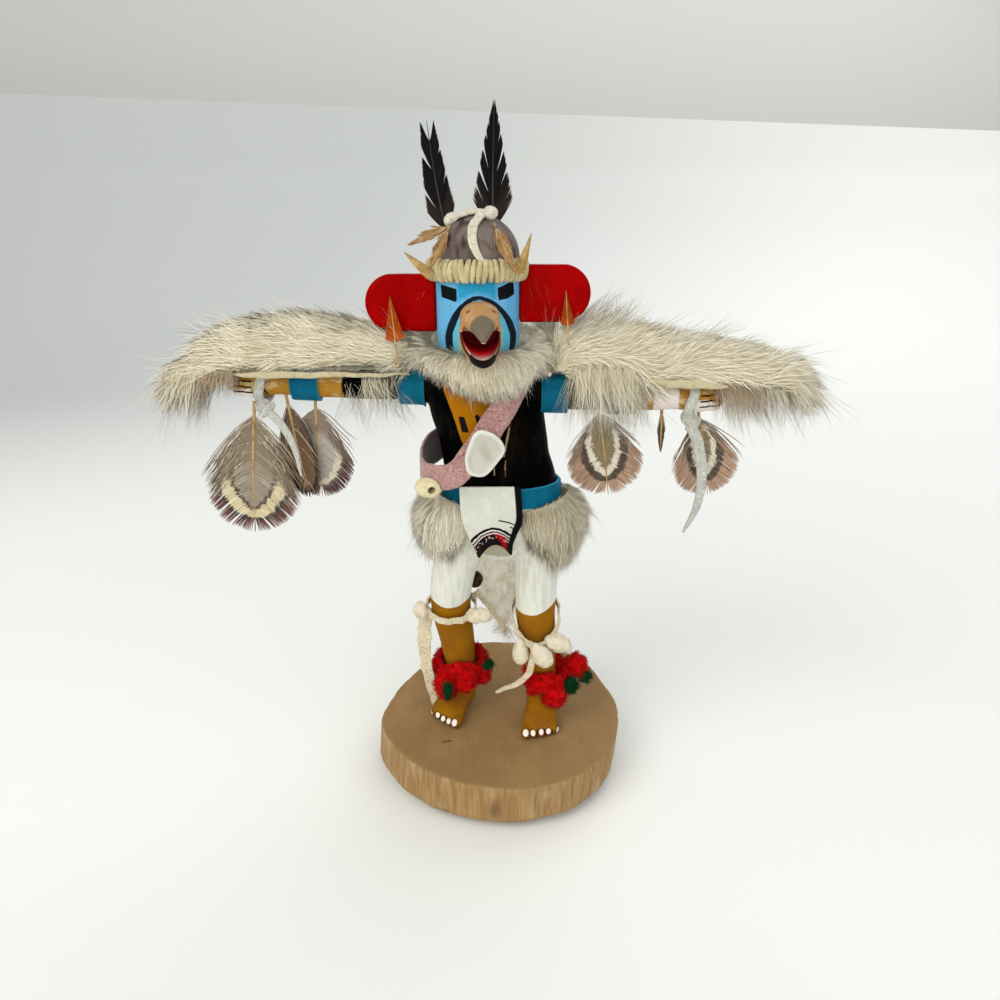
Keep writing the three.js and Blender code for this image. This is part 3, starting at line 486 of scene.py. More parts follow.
nick = from_line(spots[:, [0, 1]], [(-20.6, -21.8), (-18.6, -20.9), (-17.4, -20.8)], 0.35)
nick = only(nick, spots[:, 2] > 13.5)
crack = from_line(spots[:, [0, 2]], [(25.6, 12.6), (25.0, 8.4), (25.1, 5.6)], 0.22)
keep(base, "nick", np.minimum(nick, only(crack, front)))
dress(base, pine, "base", slot="branch_wood")

# %% [markdown]
# ## The carved figure
# Trunk, arms, legs and feet are one piece of cottonwood root. They could be sculpted, but limbs strung on
# smooth paths are quicker to correct, so the same rings as the CAD's are skinned with rounder sections and
# melted into one skin by a voxel remesh, which gives the soft joins that a knife and sandpaper leave.

# %% Rings of the body
SOLE = 14.0
TRUNK = [
    (-0.5, 0.5, 64, 8, 6.5), (0, 0.3, 69.5, 15.5, 10.6), (0.6, 0, 80, 19.6, 12.5), (0.3, 0, 90, 19, 12.2),
    (-1.2, 0, 99, 17.8, 11.6), (-2.8, 0, 110, 17.8, 11.4), (-5, 0, 120, 18.4, 11), (-6, 0, 127, 17, 9.5),
    (-6.4, 0, 131.5, 11, 8), (-6.9, 0, 138, 8, 8),
]
ARMS = [
    [(-11, 0, 119.5, 9.5, 8.5), (-18.5, 0, 122.6, 7, 7), (-24.5, 0, 124, 5.2, 5.2), (-43, 0, 124.3, 4.8, 4.8),
     (-60, 0, 124.6, 4.4, 4.4), (-73, -0.5, 124.8, 3.9, 3.6), (-80, -1, 124.4, 4.3, 3.4),
     (-82.4, -1.2, 124.2, 3.6, 2.6)],
    [(-1, 0, 119, 9.5, 8.5), (6.5, -1, 121.2, 7, 7), (12.5, -1.8, 121.9, 5.2, 5.2), (30, -3, 121.4, 4.8, 4.8),
     (46, -4, 121.2, 4.4, 4.4), (57, -4.5, 121, 3.9, 3.6), (64, -5, 120.6, 4.5, 3.4),
     (66.4, -5.2, 120.4, 3.8, 2.6)],
]
LEGS = [
    [(-10.5, 0.5, 74, 9, 10.5), (-15, 0, 63, 8, 9), (-17.5, 0, 51, 7.4, 7.8), (-17.6, 0.6, 42, 7.1, 7.3),
     (-15.8, 2.6, 27, 6.3, 6.6), (-14.8, 4, 15, 5.5, 6.2), (-14.8, 4, 3, 5.4, 6.6)],
    [(10.5, 0, 74, 9, 10.5), (12.4, -0.5, 63, 8.3, 9), (12.8, -1.4, 51, 7.5, 7.8), (12.8, -1.6, 42, 7.1, 7.3),
     (14.2, -2.4, 27, 6.2, 6.6), (15.3, -3, 15, 5.3, 6.2), (15.3, -3, 3, 5.3, 6.6)],
]
ANKLES = [(-14.8, 4, -22, 1), (15.3, -3, -3, -1)]
TOES = [(16.6, 1.9), (16.4, 1.55), (15.8, 1.45), (14.8, 1.35), (13.4, 1.2)]


def lifted(rings):
    rings = np.array(rings, float)
    rings[:, 2] += SOLE
    return rings


def on_foot(ankle, forward, inward, up):
    x, y, turn, inner = ankle
    a = math.radians(turn)
    aside = inward * inner
    return np.array([
        x + forward * math.sin(a) + aside * math.cos(a),
        y - forward * math.cos(a) + aside * math.sin(a),
        up + SOLE,
    ])


# %% Hands, feet and the joined body
def hand(rings):
    """Four fingers side by side, bent a little inwards at their tips."""
    wrist, tip = rings[-2], rings[-1]
    out = np.sign(tip[0] - wrist[0])
    fingers = []
    for k, reach in enumerate((4.4, 5.3, 5.0, 4.2)):
        z = tip[2] + SOLE + 2.7 - 1.8 * k
        start = np.array([tip[0] - out * 3.4, tip[1], z, 1.0, 1.1])
        middle = start + (out * (3.0 + reach * 0.5), -0.5, 0, 0, 0)
        end = start + (out * (3.2 + reach), 0.5, 0, -0.35, -0.4)
        fingers.append(tube([start, middle, end], 8, circle(12)))
    return fingers


def foot(ankle):
    along = [(-6, 3.4, 3.4, 3.4), (-2, 5, 5, 5.6), (4, 4.8, 5.6, 5), (9, 3.4, 6.2, 3.6), (14.5, 1.9, 6.3, 2)]
    rings = [(*on_foot(ankle, f, 0, up), wide, deep) for f, up, wide, deep in along]
    parts = [tube(rings, 20, circle(24), facing=(0, 0, 1))]
    for k, (forward, size) in enumerate(TOES):
        centre = on_foot(ankle, forward - 1.4, 5.2 - 2.7 * k, size)
        parts.append(ellipsoid(centre, (size * 1.02, size * 1.9, size * 1.05), ankle[2]))
    return parts


shapes = [tube(lifted(TRUNK), 60, circle(48))]
for rings in ARMS:
    shapes += [tube(lifted(rings), 60)] + hand(rings)
for rings, ankle in zip(LEGS, ANKLES):
    shapes += [tube(lifted(rings), 40)] + foot(ankle)
body = rounded(piece("carved_body", together(*shapes)), 0.52, passes=5)
spots = corners(body)
spots[:, 2] = np.maximum(spots[:, 2], SOLE)
spots += normals(body) * (rough_noise(spots, 7.0) * 0.18)[:, None]
spots[:, 2] = np.maximum(spots[:, 2], SOLE)
moved(body, spots)
print(len(body.data.polygons), "faces in the body")

# %% [markdown]
# ## Paint on the body
# The carver painted the trunk and upper arms black, the chest, forearms and shins ochre, and the thighs
# white. The ochre panel on the chest narrows downwards and has two short black bars. Each of those areas is
# a distance on the mesh, so a brushed edge stays crisp between its points.

# %% Where each colour ends
x, y, z = spots.T
front = y < 0
chest = [(-19.5, 143), (-18.0, 138.5), (-15.1, 130.9), (-12.6, 122.7), (-10.5, 118), (-4, 118), (0, 131),
         (1, 143)]
keep(body, "ochre_chest", only(from_outline(spots[:, [0, 2]], chest), front & (z > 112)))
bars = np.minimum(
    from_outline(spots[:, [0, 2]], [(-13.2, 130), (-11.2, 130), (-9.9, 125), (-12.1, 124.8)]),
    from_line(spots[:, [0, 2]], [(-7.2, 130.2), (-6.6, 128.4)], 0.75),
)
keep(body, "black_bars", only(bars, front))
lines = np.minimum(
    from_line(spots[:, [0, 2]], [(-1.9, 113.6), (-1.8, 111)], 0.2),
    from_line(spots[:, [0, 2]], [(1.7, 116), (1.6, 110.6)], 0.2),
)
wedge = from_outline(spots[:, [0, 2]], [(3.9, 131.4), (1.9, 123), (1.1, 117), (1.5, 117), (2.8, 124)])
keep(body, "tan_lines", only(np.minimum(lines, wedge), front))
leg = z < 100
hem = 62.0 + 1.2 * np.cos((x - np.where(x < 0, -18, 12)) / 4.5) * np.where(front, -1.6, 0.4)
hem = hem + np.where(x > 0, -1.2 - 0.2 * (16 - x), 0)
keep(body, "white_thigh", np.where(leg, np.maximum(hem - z, z - 101), 9))
keep(body, "ochre_shin", np.where(leg, z - hem, 9))
keep(body, "ochre_forearm", np.where(z > 125, np.maximum(np.where(x < 0, x + 50.5, 45 - x), -3.0), 9))
nails, dark = np.full(len(spots), 9.0), np.full(len(spots), 9.0)
for ankle in ANKLES:
    for k, (forward, size) in enumerate(TOES):
        nail = on_foot(ankle, forward - 1.4 + size * 1.25, 5.2 - 2.7 * k, size * 1.55)
        nail = spots[np.argmin(np.linalg.norm(spots - nail, axis=1))]
        offset = (spots - nail) / (max(0.85, size * 0.58), max(1.2, size * 0.8), max(1.0, size * 0.7))
        reach = (np.linalg.norm(offset, axis=1) - 1) * size * 0.55
        nails = np.minimum(nails, reach)
        dark = np.minimum(dark, np.abs(reach - 0.18) - 0.14)
# Dark paint rings each nail; the gaps between the toes and a band along the sole where the foot meets the
# base are painted shade.
for ankle in ANKLES:
    for k in range(4):
        gap = on_foot(ankle, TOES[k][0] - 0.6, 5.2 - 2.7 * k - 1.35, 1.6)
        dark = np.minimum(dark, (np.linalg.norm((spots - gap) / (0.3, 2.4, 1.6), axis=1) - 1) * 0.3)
dark = np.minimum(dark, np.where(z < 20, z - (SOLE + 0.75), 9))
keep(body, "white_nails", nails)
# Painted shade: a greyer patch on the thighs and crotch under the breechcloth's hem, where its shadow falls.
painted_shade_under_cloth = [(-8.4, 94), (-7.6, 83), (-5, 81), (3, 81), (4.6, 84), (5.4, 94)]
keep(body, "painted_shade_under_cloth", only(from_outline(spots[:, [0, 2]], painted_shade_under_cloth), front & leg))
keep(body, "toe_lines_and_shade", dark)
fingers = np.full(len(spots), 9.0)
for rings in ARMS:
    tip = rings[-1]
    out = np.sign(tip[0])
    for k in range(3):
        height = tip[2] + SOLE + 1.8 - 1.8 * k
        groove = from_line(spots[:, [0, 2]], [(tip[0] - out * 3, height), (tip[0] + out * 6, height)], 0.3)
        fingers = np.minimum(fingers, groove)
    curl = from_line(spots[:, [0, 2]],
                     [(tip[0] - out * 7.6, tip[2] + SOLE - 2.4), (tip[0] - out * 6.8, tip[2] + SOLE - 0.4),
                                        (tip[0] - out * 4.6, tip[2] + SOLE + 0.4)], 0.35)
    fingers = np.minimum(fingers, curl)
# Painted highlight: pale glare patches on the ochre of the right forearm and hand and on the left hand.
pale = np.minimum(
    from_outline(spots[:, [0, 2]], [(48.6, 141), (57.0, 141), (56.4, 133.5), (57.6, 131), (48.8, 131)]),
    from_outline(spots[:, [0, 2]], [(61.0, 134.6), (66.4, 134.8), (72, 131), (61, 130)]),
)
pale = np.minimum(pale,
                  from_outline(spots[:, [0, 2]], [(-88, 136.4), (-80, 137.6), (-78.4, 133), (-88, 131)]))
keep(body, "painted_highlight_hand", only(pale, (z > 125) & (y < 2)))
keep(body, "finger_lines", only(fingers, (z > 125) & (y < 0)))

# %% Painted cottonwood
wood_paint = Finish("cottonwood_acrylic_painted", "#020203", 0.42, IOR=1.06)
wood_paint.layer("#070708", wood_paint.between(wood_paint.noise(5, 3.0), 0.45, 0.75, 0.0, 0.5))
wood_paint.paint("#a4690a", "ochre_chest")
wood_paint.paint("#111113", "black_bars", edge=0.1)
wood_paint.paint("#a58962", "tan_lines", edge=0.1, wobble=0.05)
wood_paint.paint("#a8792c", "ochre_forearm", edge=0.5, wobble=0.6)
worn = wood_paint.math("MULTIPLY",
                       wood_paint.between(wood_paint.attribute("ochre_forearm"), -0.5, 0.5, 1.0, 0.0),
                       wood_paint.between(wood_paint.noise(5, 4.0, stretch=(0.6, 1, 1.4), rough=0.65), 0.47,
                                          0.6, 0.0, 0.75))
wood_paint.layer("#cdb48c", worn)
wood_paint.paint("#93640f", "ochre_shin")
shin = wood_paint.math("LESS_THAN", wood_paint.attribute("ochre_shin"), 0.0)
redder = wood_paint.between(wood_paint.noise(9, 3.0), 0.4, 0.62, 0.0, 0.45)
wood_paint.layer("#7d4a1c", wood_paint.math("MULTIPLY", shin, redder))
wood_paint.paint("#dadbd1", "white_thigh", wobble=0.2)
thigh = wood_paint.math("LESS_THAN", wood_paint.attribute("white_thigh"), 0.0)
brushed = wood_paint.between(wood_paint.noise(1.3, 4.0, stretch=(1, 1, 0.12)), 0.42, 0.68, 0.0, 0.55)
wood_paint.layer("#b9b9a6", wood_paint.math("MULTIPLY", thigh, brushed))
# Painted shade under the breechcloth.
wood_paint.paint("#aba68f", "painted_shade_under_cloth", edge=0.8, wobble=0.5)
# Dark lines round the nails, with painted shade between the toes and along the sole.
wood_paint.paint("#40230d", "toe_lines_and_shade", edge=0.1, wobble=0.05)
wood_paint.paint("#f4efe2", "white_nails", edge=0.08, wobble=0.03)
# Painted highlight of pale glare on the hands.
wood_paint.paint("#e2d6d0", "painted_highlight_hand", edge=0.35, wobble=0.5)
wood_paint.paint("#17120f", "finger_lines", edge=0.12, wobble=0.05)
grain = wood_paint.noise(0.9, 4.0, stretch=(1, 1, 0.3), rough=0.65)
handled = wood_paint.between(wood_paint.noise(6, 4.0, stretch=(1, 1, 0.4)), 0.45, 0.72, 0.0, 0.3)
wood_paint.layer("#6d5a3c", wood_paint.math("MULTIPLY", handled, 0.15))
wood_paint.raise_by(grain, 0.16)
wood_paint.raise_by(wood_paint.noise(3.2, 2.0), 0.25)
wood_paint.vary_roughness(grain, 0.34, 0.56)
wood_paint = wood_paint.done()

# %% [markdown]
# ## The mask
# The mask is the top of the same root: a drum with a domed crown. A turned profile gives it cleaner edges
# than the remesh would. Its paint is laid out unrolled, as millimetres round the drum and millimetres up.

# %% Drum and dome
HEAD_X, HEAD_R, DOME = -6.9, 13.0, 177.0
profile = [(8.6, 145.5), (11.2, 148), (12.4, 150.4), (12.9, 153)]
profile += [(HEAD_R, h) for h in np.linspace(154, DOME, 34)]
for a in np.linspace(0, math.pi / 2, 22)[1:-1]:
    profile.append((HEAD_R * math.cos(a), DOME + HEAD_R * math.sin(a)))
profile.append((0.3, DOME + HEAD_R))
ring = circle(144)
rows = [np.stack([HEAD_X + ring[:, 0] * r, ring[:, 1] * r, np.full(len(ring), h)], 1) for r, h in profile]
mask = piece("carved_mask", skin(rows))
spots = corners(mask)
spots += normals(mask) * (rough_noise(spots, 8.0, 3) * 0.16)[:, None]
moved(mask, spots)
angle = np.degrees(np.arctan2(spots[:, 0] - HEAD_X, -spots[:, 1]))
UNROLL = math.radians(1) * HEAD_R
unrolled = np.stack([angle * UNROLL, spots[:, 2]], 1)
facing_front = np.abs(angle) < 100


def on_mask(outline):
    """An outline of [degrees from the front, height], as unrolled millimetres."""
    return [(a * UNROLL, h) for a, h in outline]


eyes = np.minimum(
    from_outline(unrolled,
                 on_mask([(-57, 170.2), (-42, 169.7), (-27.4, 169.1), (-27.2, 165.2), (-41, 165.9),
                          (-55, 166.4)])),
    from_outline(unrolled,
                 on_mask([(27.6, 169.4), (41, 170.3), (56, 171.4), (60.5, 167.3), (45, 166.2),
                          (30.2, 165.8)])),
)
keep(mask, "black_eyes", only(eyes, facing_front))
ARCH_OUT = [(-49.1, 154.8), (-43.7, 158.2), (-34.9, 161.5), (-25, 164.1), (-13, 166.2), (-4.8, 167.1),
            (4.1, 167.3),
            (15.2, 166.6), (25.8, 165.4), (36.3, 163.5), (48.9, 160.8), (57.8, 158.5), (65.9, 155.6)]
ARCH_IN = [(50, 153.6), (49.1, 155.7), (40.3, 159.8), (32.7, 162.2), (22.5, 164.1), (13.1, 165.5),
           (4.1, 166.2),
           (-4.9, 165.7), (-14.2, 164.2), (-21.9, 162.1), (-28.4, 159.1), (-34.3, 156.1), (-35.4, 150)]
arch = on_mask([(-50, 150), *ARCH_OUT, (66, 150), (51, 150), *ARCH_IN])
keep(mask, "black_arch", only(from_outline(unrolled, arch), facing_front))
inner = on_mask([(-36, 148), *reversed(ARCH_IN[1:]), (50, 148)])
keep(mask, "pale_cheek", only(from_outline(unrolled, inner), facing_front))
snout = on_mask([(-27, 150), (-25, 157), (-19, 162), (-9, 164.3), (4, 165), (17, 164.2), (28, 161.6),
                 (36, 157), (38, 150)])
keep(mask, "tan_snout", only(from_outline(unrolled, snout), facing_front))
forehead = on_mask([(-26, 173), (-27, 165.4), (-12, 167.2), (3, 168), (18, 167.2), (27, 165.8), (26, 173)])
keep(mask, "deep_forehead", only(from_outline(unrolled, forehead), facing_front))
keep(mask, "brown_crown", np.maximum(173.4 - spots[:, 2], -4))

# %% Mask paint
mask_paint = Finish("cottonwood_mask_paint", "#63abd8", 0.36, Specular_IOR_Level=0.05)
mask_paint.layer("#86bbe6",
                 mask_paint.between(mask_paint.noise(6, 3.0, stretch=(1, 1, 0.4)), 0.4, 0.7, 0.0, 0.5))
mask_paint.paint("#2a93bf", "deep_forehead", edge=1.1, wobble=0.5)
mask_paint.layer("#1f86b6",
                 mask_paint.between(mask_paint.noise(2.4, 3.0, stretch=(1, 1, 0.3)), 0.5, 0.75, 0.0, 0.3))
mask_paint.paint("#58b3d2", "pale_cheek", edge=0.3)
mask_paint.paint("#9db59b", "tan_snout", edge=0.9, wobble=0.4)
mask_paint.paint("#101b26", "black_arch")
mask_paint.paint("#0b1212", "black_eyes", edge=0.1, wobble=0.1)
mask_paint.paint("#564a45", "brown_crown", edge=0.5)
crown = mask_paint.math("LESS_THAN", mask_paint.attribute("brown_crown"), -1.0)
smear = mask_paint.noise(5, 4.0, stretch=(1, 1, 0.5), twist=0.6)
mask_paint.layer("#7d716a",
                 mask_paint.math("MULTIPLY", crown, mask_paint.between(smear, 0.36, 0.6, 0.0, 0.85)))
mask_paint.layer("#241c1d",
                 mask_paint.math("MULTIPLY", crown, mask_paint.between(smear, 0.3, 0.42, 0.6, 0.0)))
mask_paint.raise_by(mask_paint.noise(1.4, 3.0, stretch=(1, 1, 0.4)), 0.12)
dull = mask_paint.math("MULTIPLY_ADD", crown, 0.3,
                       mask_paint.between(mask_paint.noise(4, 3.0), 0.3, 0.7, 0.3, 0.5))
mask_paint.tree.links.new(dull, mask_paint.shader.inputs["Roughness"])
mask_paint = mask_paint.done()
mask.data.materials.append(mask_paint)
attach(mask, "root")
dress(body, wood_paint, "carved_figure", slot="body_paint")

# %% [markdown]
# ## The beak
# The beak is carved apart and glued on: a round root, a lower half scooped out like a spoon and a hooked
# upper half. It is built as the CAD builds it, with rounder sections: the throat is cut from the lower half
# with a Boolean, and the remesh then softens every edge as paint does.

# %% Beak
HEAD_TURN = math.radians(4)


def on_snout(forward, up, aside=0.0):
    return np.array([
        HEAD_X + forward * math.sin(HEAD_TURN) + aside * math.cos(HEAD_TURN),
        -forward * math.cos(HEAD_TURN) + aside * math.sin(HEAD_TURN),
        up + SOLE,
    ])


def snout(rings, steps=24):
    return tube([(*on_snout(f, up), wide, deep) for f, up, wide, deep in rings], steps, circle(36),
                facing=(0, 0, 1))


THROAT = [(14.6, 143.4, 5.2, 4.2), (20, 142.9, 5.3, 4.6), (25, 141.7, 4.7, 4.3), (30, 140.7, 3.7, 3.4),
          (37, 139.7, 2.8, 2.5)]
root = [(9, 143.4, 6.3, 7.4), (15.6, 143.6, 6.1, 6.6)]
lower = [(9, 141.5, 6.3, 6), (15, 141, 6.1, 5.4), (21, 139.9, 5.6, 4.3), (27, 138.6, 4.6, 3.1),
         (32, 137.4, 3, 2),
         (34.2, 137, 1.4, 1.2)]
upper = [(12, 147.2, 6.0, 4.6), (16, 147.4, 5.9, 4.4), (21, 147.0, 5.2, 3.6), (26, 146.6, 4.1, 2.9),
         (30, 145.9, 3.0, 2.3),
         (33.5, 144.6, 1.8, 1.5), (35.3, 143.2, 0.7, 0.8)]
bowl = rounded(piece("bowl", together(snout(root, 6), snout(lower))), 0.3, passes=2)
throat = piece("throat", snout(THROAT))
modified(bowl, "BOOLEAN", operation="DIFFERENCE", object=throat, solver="EXACT")
applied(bowl)
hood = piece("hood", snout(upper))
beak = piece("beak_carved", together((corners(bowl), [tuple(p.vertices) for p in bowl.data.polygons]),
                                     (corners(hood), [tuple(p.vertices) for p in hood.data.polygons])))
beak = rounded(beak, 0.27, passes=3)
spots = corners(beak)
forward = -(spots[:, 1]) * math.cos(HEAD_TURN) + (spots[:, 0] - HEAD_X) * math.sin(HEAD_TURN)
aside = (spots[:, 0] - HEAD_X) * math.cos(HEAD_TURN) + spots[:, 1] * math.sin(HEAD_TURN)
tree = BVHTree.FromObject(throat, bpy.context.evaluated_depsgraph_get())
to_throat = np.array([tree.find_nearest(Vector(p) * MM)[3] / MM for p in spots])
for made in (bowl, throat, hood):
    bpy.data.objects.remove(made)
in_hood = (spots[:, 2] > SOLE + 143.3) & (forward > 12)
keep(beak, "mouth", np.where(in_hood, np.maximum(to_throat - 0.42, 0.3), to_throat - 0.42))
keep(beak, "rim", np.abs(to_throat - 0.75) - 0.38 + np.where(in_hood, 9, 0))
keep(beak, "forward", forward)
keep(beak, "aside", aside)
keep(beak, "grey_hook", np.where(spots[:, 2] > SOLE + 141, 26.6 - forward + 0.5 * np.abs(aside), 9))
keep(beak, "dark_lip", np.where(spots[:, 2] < SOLE + 141.5, np.maximum(29.8 - forward, -3.0), 9))
holes = [on_snout(20.6, 149.4, side * 3.6) for side in (-1, 1)]
keep(beak, "nostrils",
     np.min([np.linalg.norm((spots - h) / (1, 1.2, 1.3), axis=1) for h in holes], axis=0) - 0.7)

# %% Beak paint
beak_paint = Finish("cottonwood_beak_paint", "#b98f58", 0.4, Specular_IOR_Level=0.05)
beak_paint.layer("#d6ad8f", beak_paint.between(beak_paint.noise(3.4, 3.0), 0.45, 0.7, 0.0, 0.55))
beak_paint.paint("#6f6656", "grey_hook", edge=1.1, wobble=0.7)
beak_paint.paint("#5e4c2c", "nostrils", edge=0.25)
# Inside the mouth the red darkens to near black towards the throat and darkens towards the sides: red paint
# with painted shade in the hollow.
ahead = beak_paint.attribute("forward")
mouth_red_and_shade = beak_paint.node("ShaderNodeValToRGB", {0: beak_paint.between(ahead, 16, 31)})
stops = mouth_red_and_shade.color_ramp.elements
stops[0].position = 0.0
stops[0].color = linear("#4a0006")
stops[1].position = 1.0
stops[1].color = linear("#d8c2b8")
for where, colour in ((0.2, "#8a0409"), (0.36, "#c00c18"), (0.54, "#c8484e"), (0.7, "#c48c84")):
    stops.new(where).color = linear(colour)
to_side = beak_paint.between(beak_paint.attribute("aside"), 0.5, 3.5, 0.0, 0.6)
mouth_with_shaded_sides = beak_paint.node("ShaderNodeMix", {"Factor": to_side}, data_type="RGBA")
beak_paint.tree.links.new(mouth_red_and_shade.outputs[0], mouth_with_shaded_sides.inputs[6])
mouth_with_shaded_sides.inputs[7].default_value = linear("#6a0a12")
inside = beak_paint.between(beak_paint.attribute("mouth"), -0.12, 0.12, 1.0, 0.0)
beak_paint.layer(mouth_with_shaded_sides.outputs[2], inside)
beak_paint.paint("#4a2412", "rim", edge=0.12, wobble=0.1)
beak_paint.paint("#181312", "dark_lip", edge=0.25, wobble=0.3)
beak_paint.raise_by(beak_paint.noise(1.1, 3.0), 0.1)
beak_paint = beak_paint.done()
dress(beak, beak_paint, "beak", slot="beak_paint")

# %% [markdown]
# ## Ears, bands, belt and other solid trimmings
# Their CAD shapes are right, so each gets a copy whose edges are softened: painted boards and dyed leather
# never have a sharp edge. Their rims are lighter where the surface turns, partly because paint lies thinner
# on an edge and partly as painted highlight where the rounded edge catches the light.

# %% Softened copies
def softened(node, voxel, passes):
    return rounded(copy_of(node), voxel, passes)


ear_paint = Finish("pine_enamel_red", "#900102", 0.3, IOR=1.07)
ear_paint.layer("#a50303", ear_paint.between(ear_paint.noise(9, 3.0), 0.42, 0.66, 0.0, 0.7))
ear_paint.layer("#780101",
                ear_paint.between(ear_paint.noise(2.2, 4.0, stretch=(0.3, 1, 1)), 0.52, 0.75, 0.0, 0.35))
# Thinner paint and painted highlight: the rims are lighter where the rounded edge turns.
ear_paint.layer("#e08a86",
                ear_paint.math("MULTIPLY", ear_paint.between(ear_paint.attribute("edge"), 0.2, 1.0, 0.5, 0.0),
                                          ear_paint.between(ear_paint.noise(5, 3.0), 0.45, 0.62)))
ear_paint.raise_by(ear_paint.noise(1.6, 3.0, stretch=(0.4, 1, 1)), 0.1)
ear_paint.vary_roughness(ear_paint.noise(4, 3.0), 0.24, 0.42)
ear_paint = ear_paint.done()
for side in ("left", "right"):
    ear = softened(f"ear_{side}", 0.36, 6)
    keep(ear, "edge", 3 * np.abs(normals(ear)[:, 1]))
    dress(ear, ear_paint, f"ear_{side}", slot="ear_paint")

blue_leather = Finish("cowhide_painted_turquoise", "#08607c", 0.42, IOR=1.12)
blue_leather.layer("#04526c", blue_leather.between(blue_leather.noise(4, 3.0), 0.42, 0.7, 0.0, 0.6))
# Worn paint and painted highlight: the rims are lighter where the surface turns.
blue_leather.layer("#3597b4", blue_leather.between(blue_leather.attribute("edge"), 0.35, 0.7, 0.55, 0.0))
blue_leather.raise_by(blue_leather.noise(0.5, 3.0), 0.06)
blue_leather.raise_by(blue_leather.noise(2.4, 2.0), 0.2)
blue_leather.vary_roughness(blue_leather.noise(3, 3.0), 0.34, 0.55)
blue_leather = blue_leather.done()
for node in ("armband_left", "armband_right", "wristband_left", "wristband_right", "belt"):
    band = softened(node, 0.3, 5)
    n = normals(band)
    keep(band, "edge", 1 - np.abs(n[:, 2] if node == "belt" else n[:, 0]))
    dress(band, blue_leather, node, slot="blue_leather")

# %% [markdown]
# ## Fur
# The wings, the collar, the hip pieces and the tail are strips of rabbit pelt: a hide with a dense, soft
# pile that lies the way it is combed, and a few longer guard hairs. Particle hair would not export, so a
# Geometry Nodes tree scatters small tufts of tapered ribbons over a hide that is the CAD solid drawn in by
# the depth of the pile. Each tuft turns to the combing direction stored on the hide.

# %% A tuft of hairs
def tuft(name, hairs, root, tip, bend, width, seed, levels=(0, 0.5, 1.0)):
    """Hairs of height 1 from a disc of radius `root` to one of radius `tip`, in millimetres."""
    rng = np.random.default_rng(seed)
    points, faces, up = [], [], []
    for _ in range(hairs):
        a, b, c = rng.uniform(0, 2 * math.pi, 3)
        start = np.array([math.cos(a), math.sin(a)]) * root * math.sqrt(rng.uniform())
        end = np.array([math.cos(b), math.sin(b)]) * tip * math.sqrt(rng.uniform())
        reach = rng.uniform(0.72, 1.0)
        flat = np.array([math.cos(c), math.sin(c)])
        first = len(points)
        for level in levels:
            middle = start + (end - start) * level**1.4
            middle = middle - np.array([bend * level**2, 0])
            half = width / 2 * (1 - level**2.2)
            sides = (-1, 1) if level < 1 else (0,)
            for side in sides:
                points.append((*(middle + flat * side * half), level * reach / MM))
                up.append(level)
        for k in range(len(levels) - 2):
            i = first + 2 * k
            faces.append((i, i + 1, i + 3, i + 2))
        i = first + 2 * (len(levels) - 2)
        faces.append((i, i + 1, i + 2))
    made = piece(name, (np.array(points), faces), smooth=False)
    keep(made, "hair", up)
    return made


# %% The tree that scatters tufts
def adder(tree):
    """A function that adds a node to the tree; a link's value may be another socket or a plain value."""
    def add(kind, links=None, **settings):
        made = tree.nodes.new(kind)
        for key, value in settings.items():
            setattr(made, key, value)
        for key, value in (links or {}).items():
            if isinstance(value, bpy.types.NodeSocket):
                tree.links.new(value, made.inputs[key])
            else:
                made.inputs[key].default_value = value
        return made

    return add


def run_tree(made, tree, values):
    """Gives the object the tree's result as its mesh; `values` go to the tree's sockets by name."""
    modifier = made.modifiers.new(tree.name, "NODES")
    modifier.node_group = tree
    for item in tree.interface.items_tree:
        if item.in_out == "INPUT" and item.name in values:
            modifier[item.identifier] = values[item.name]
    return applied(made)


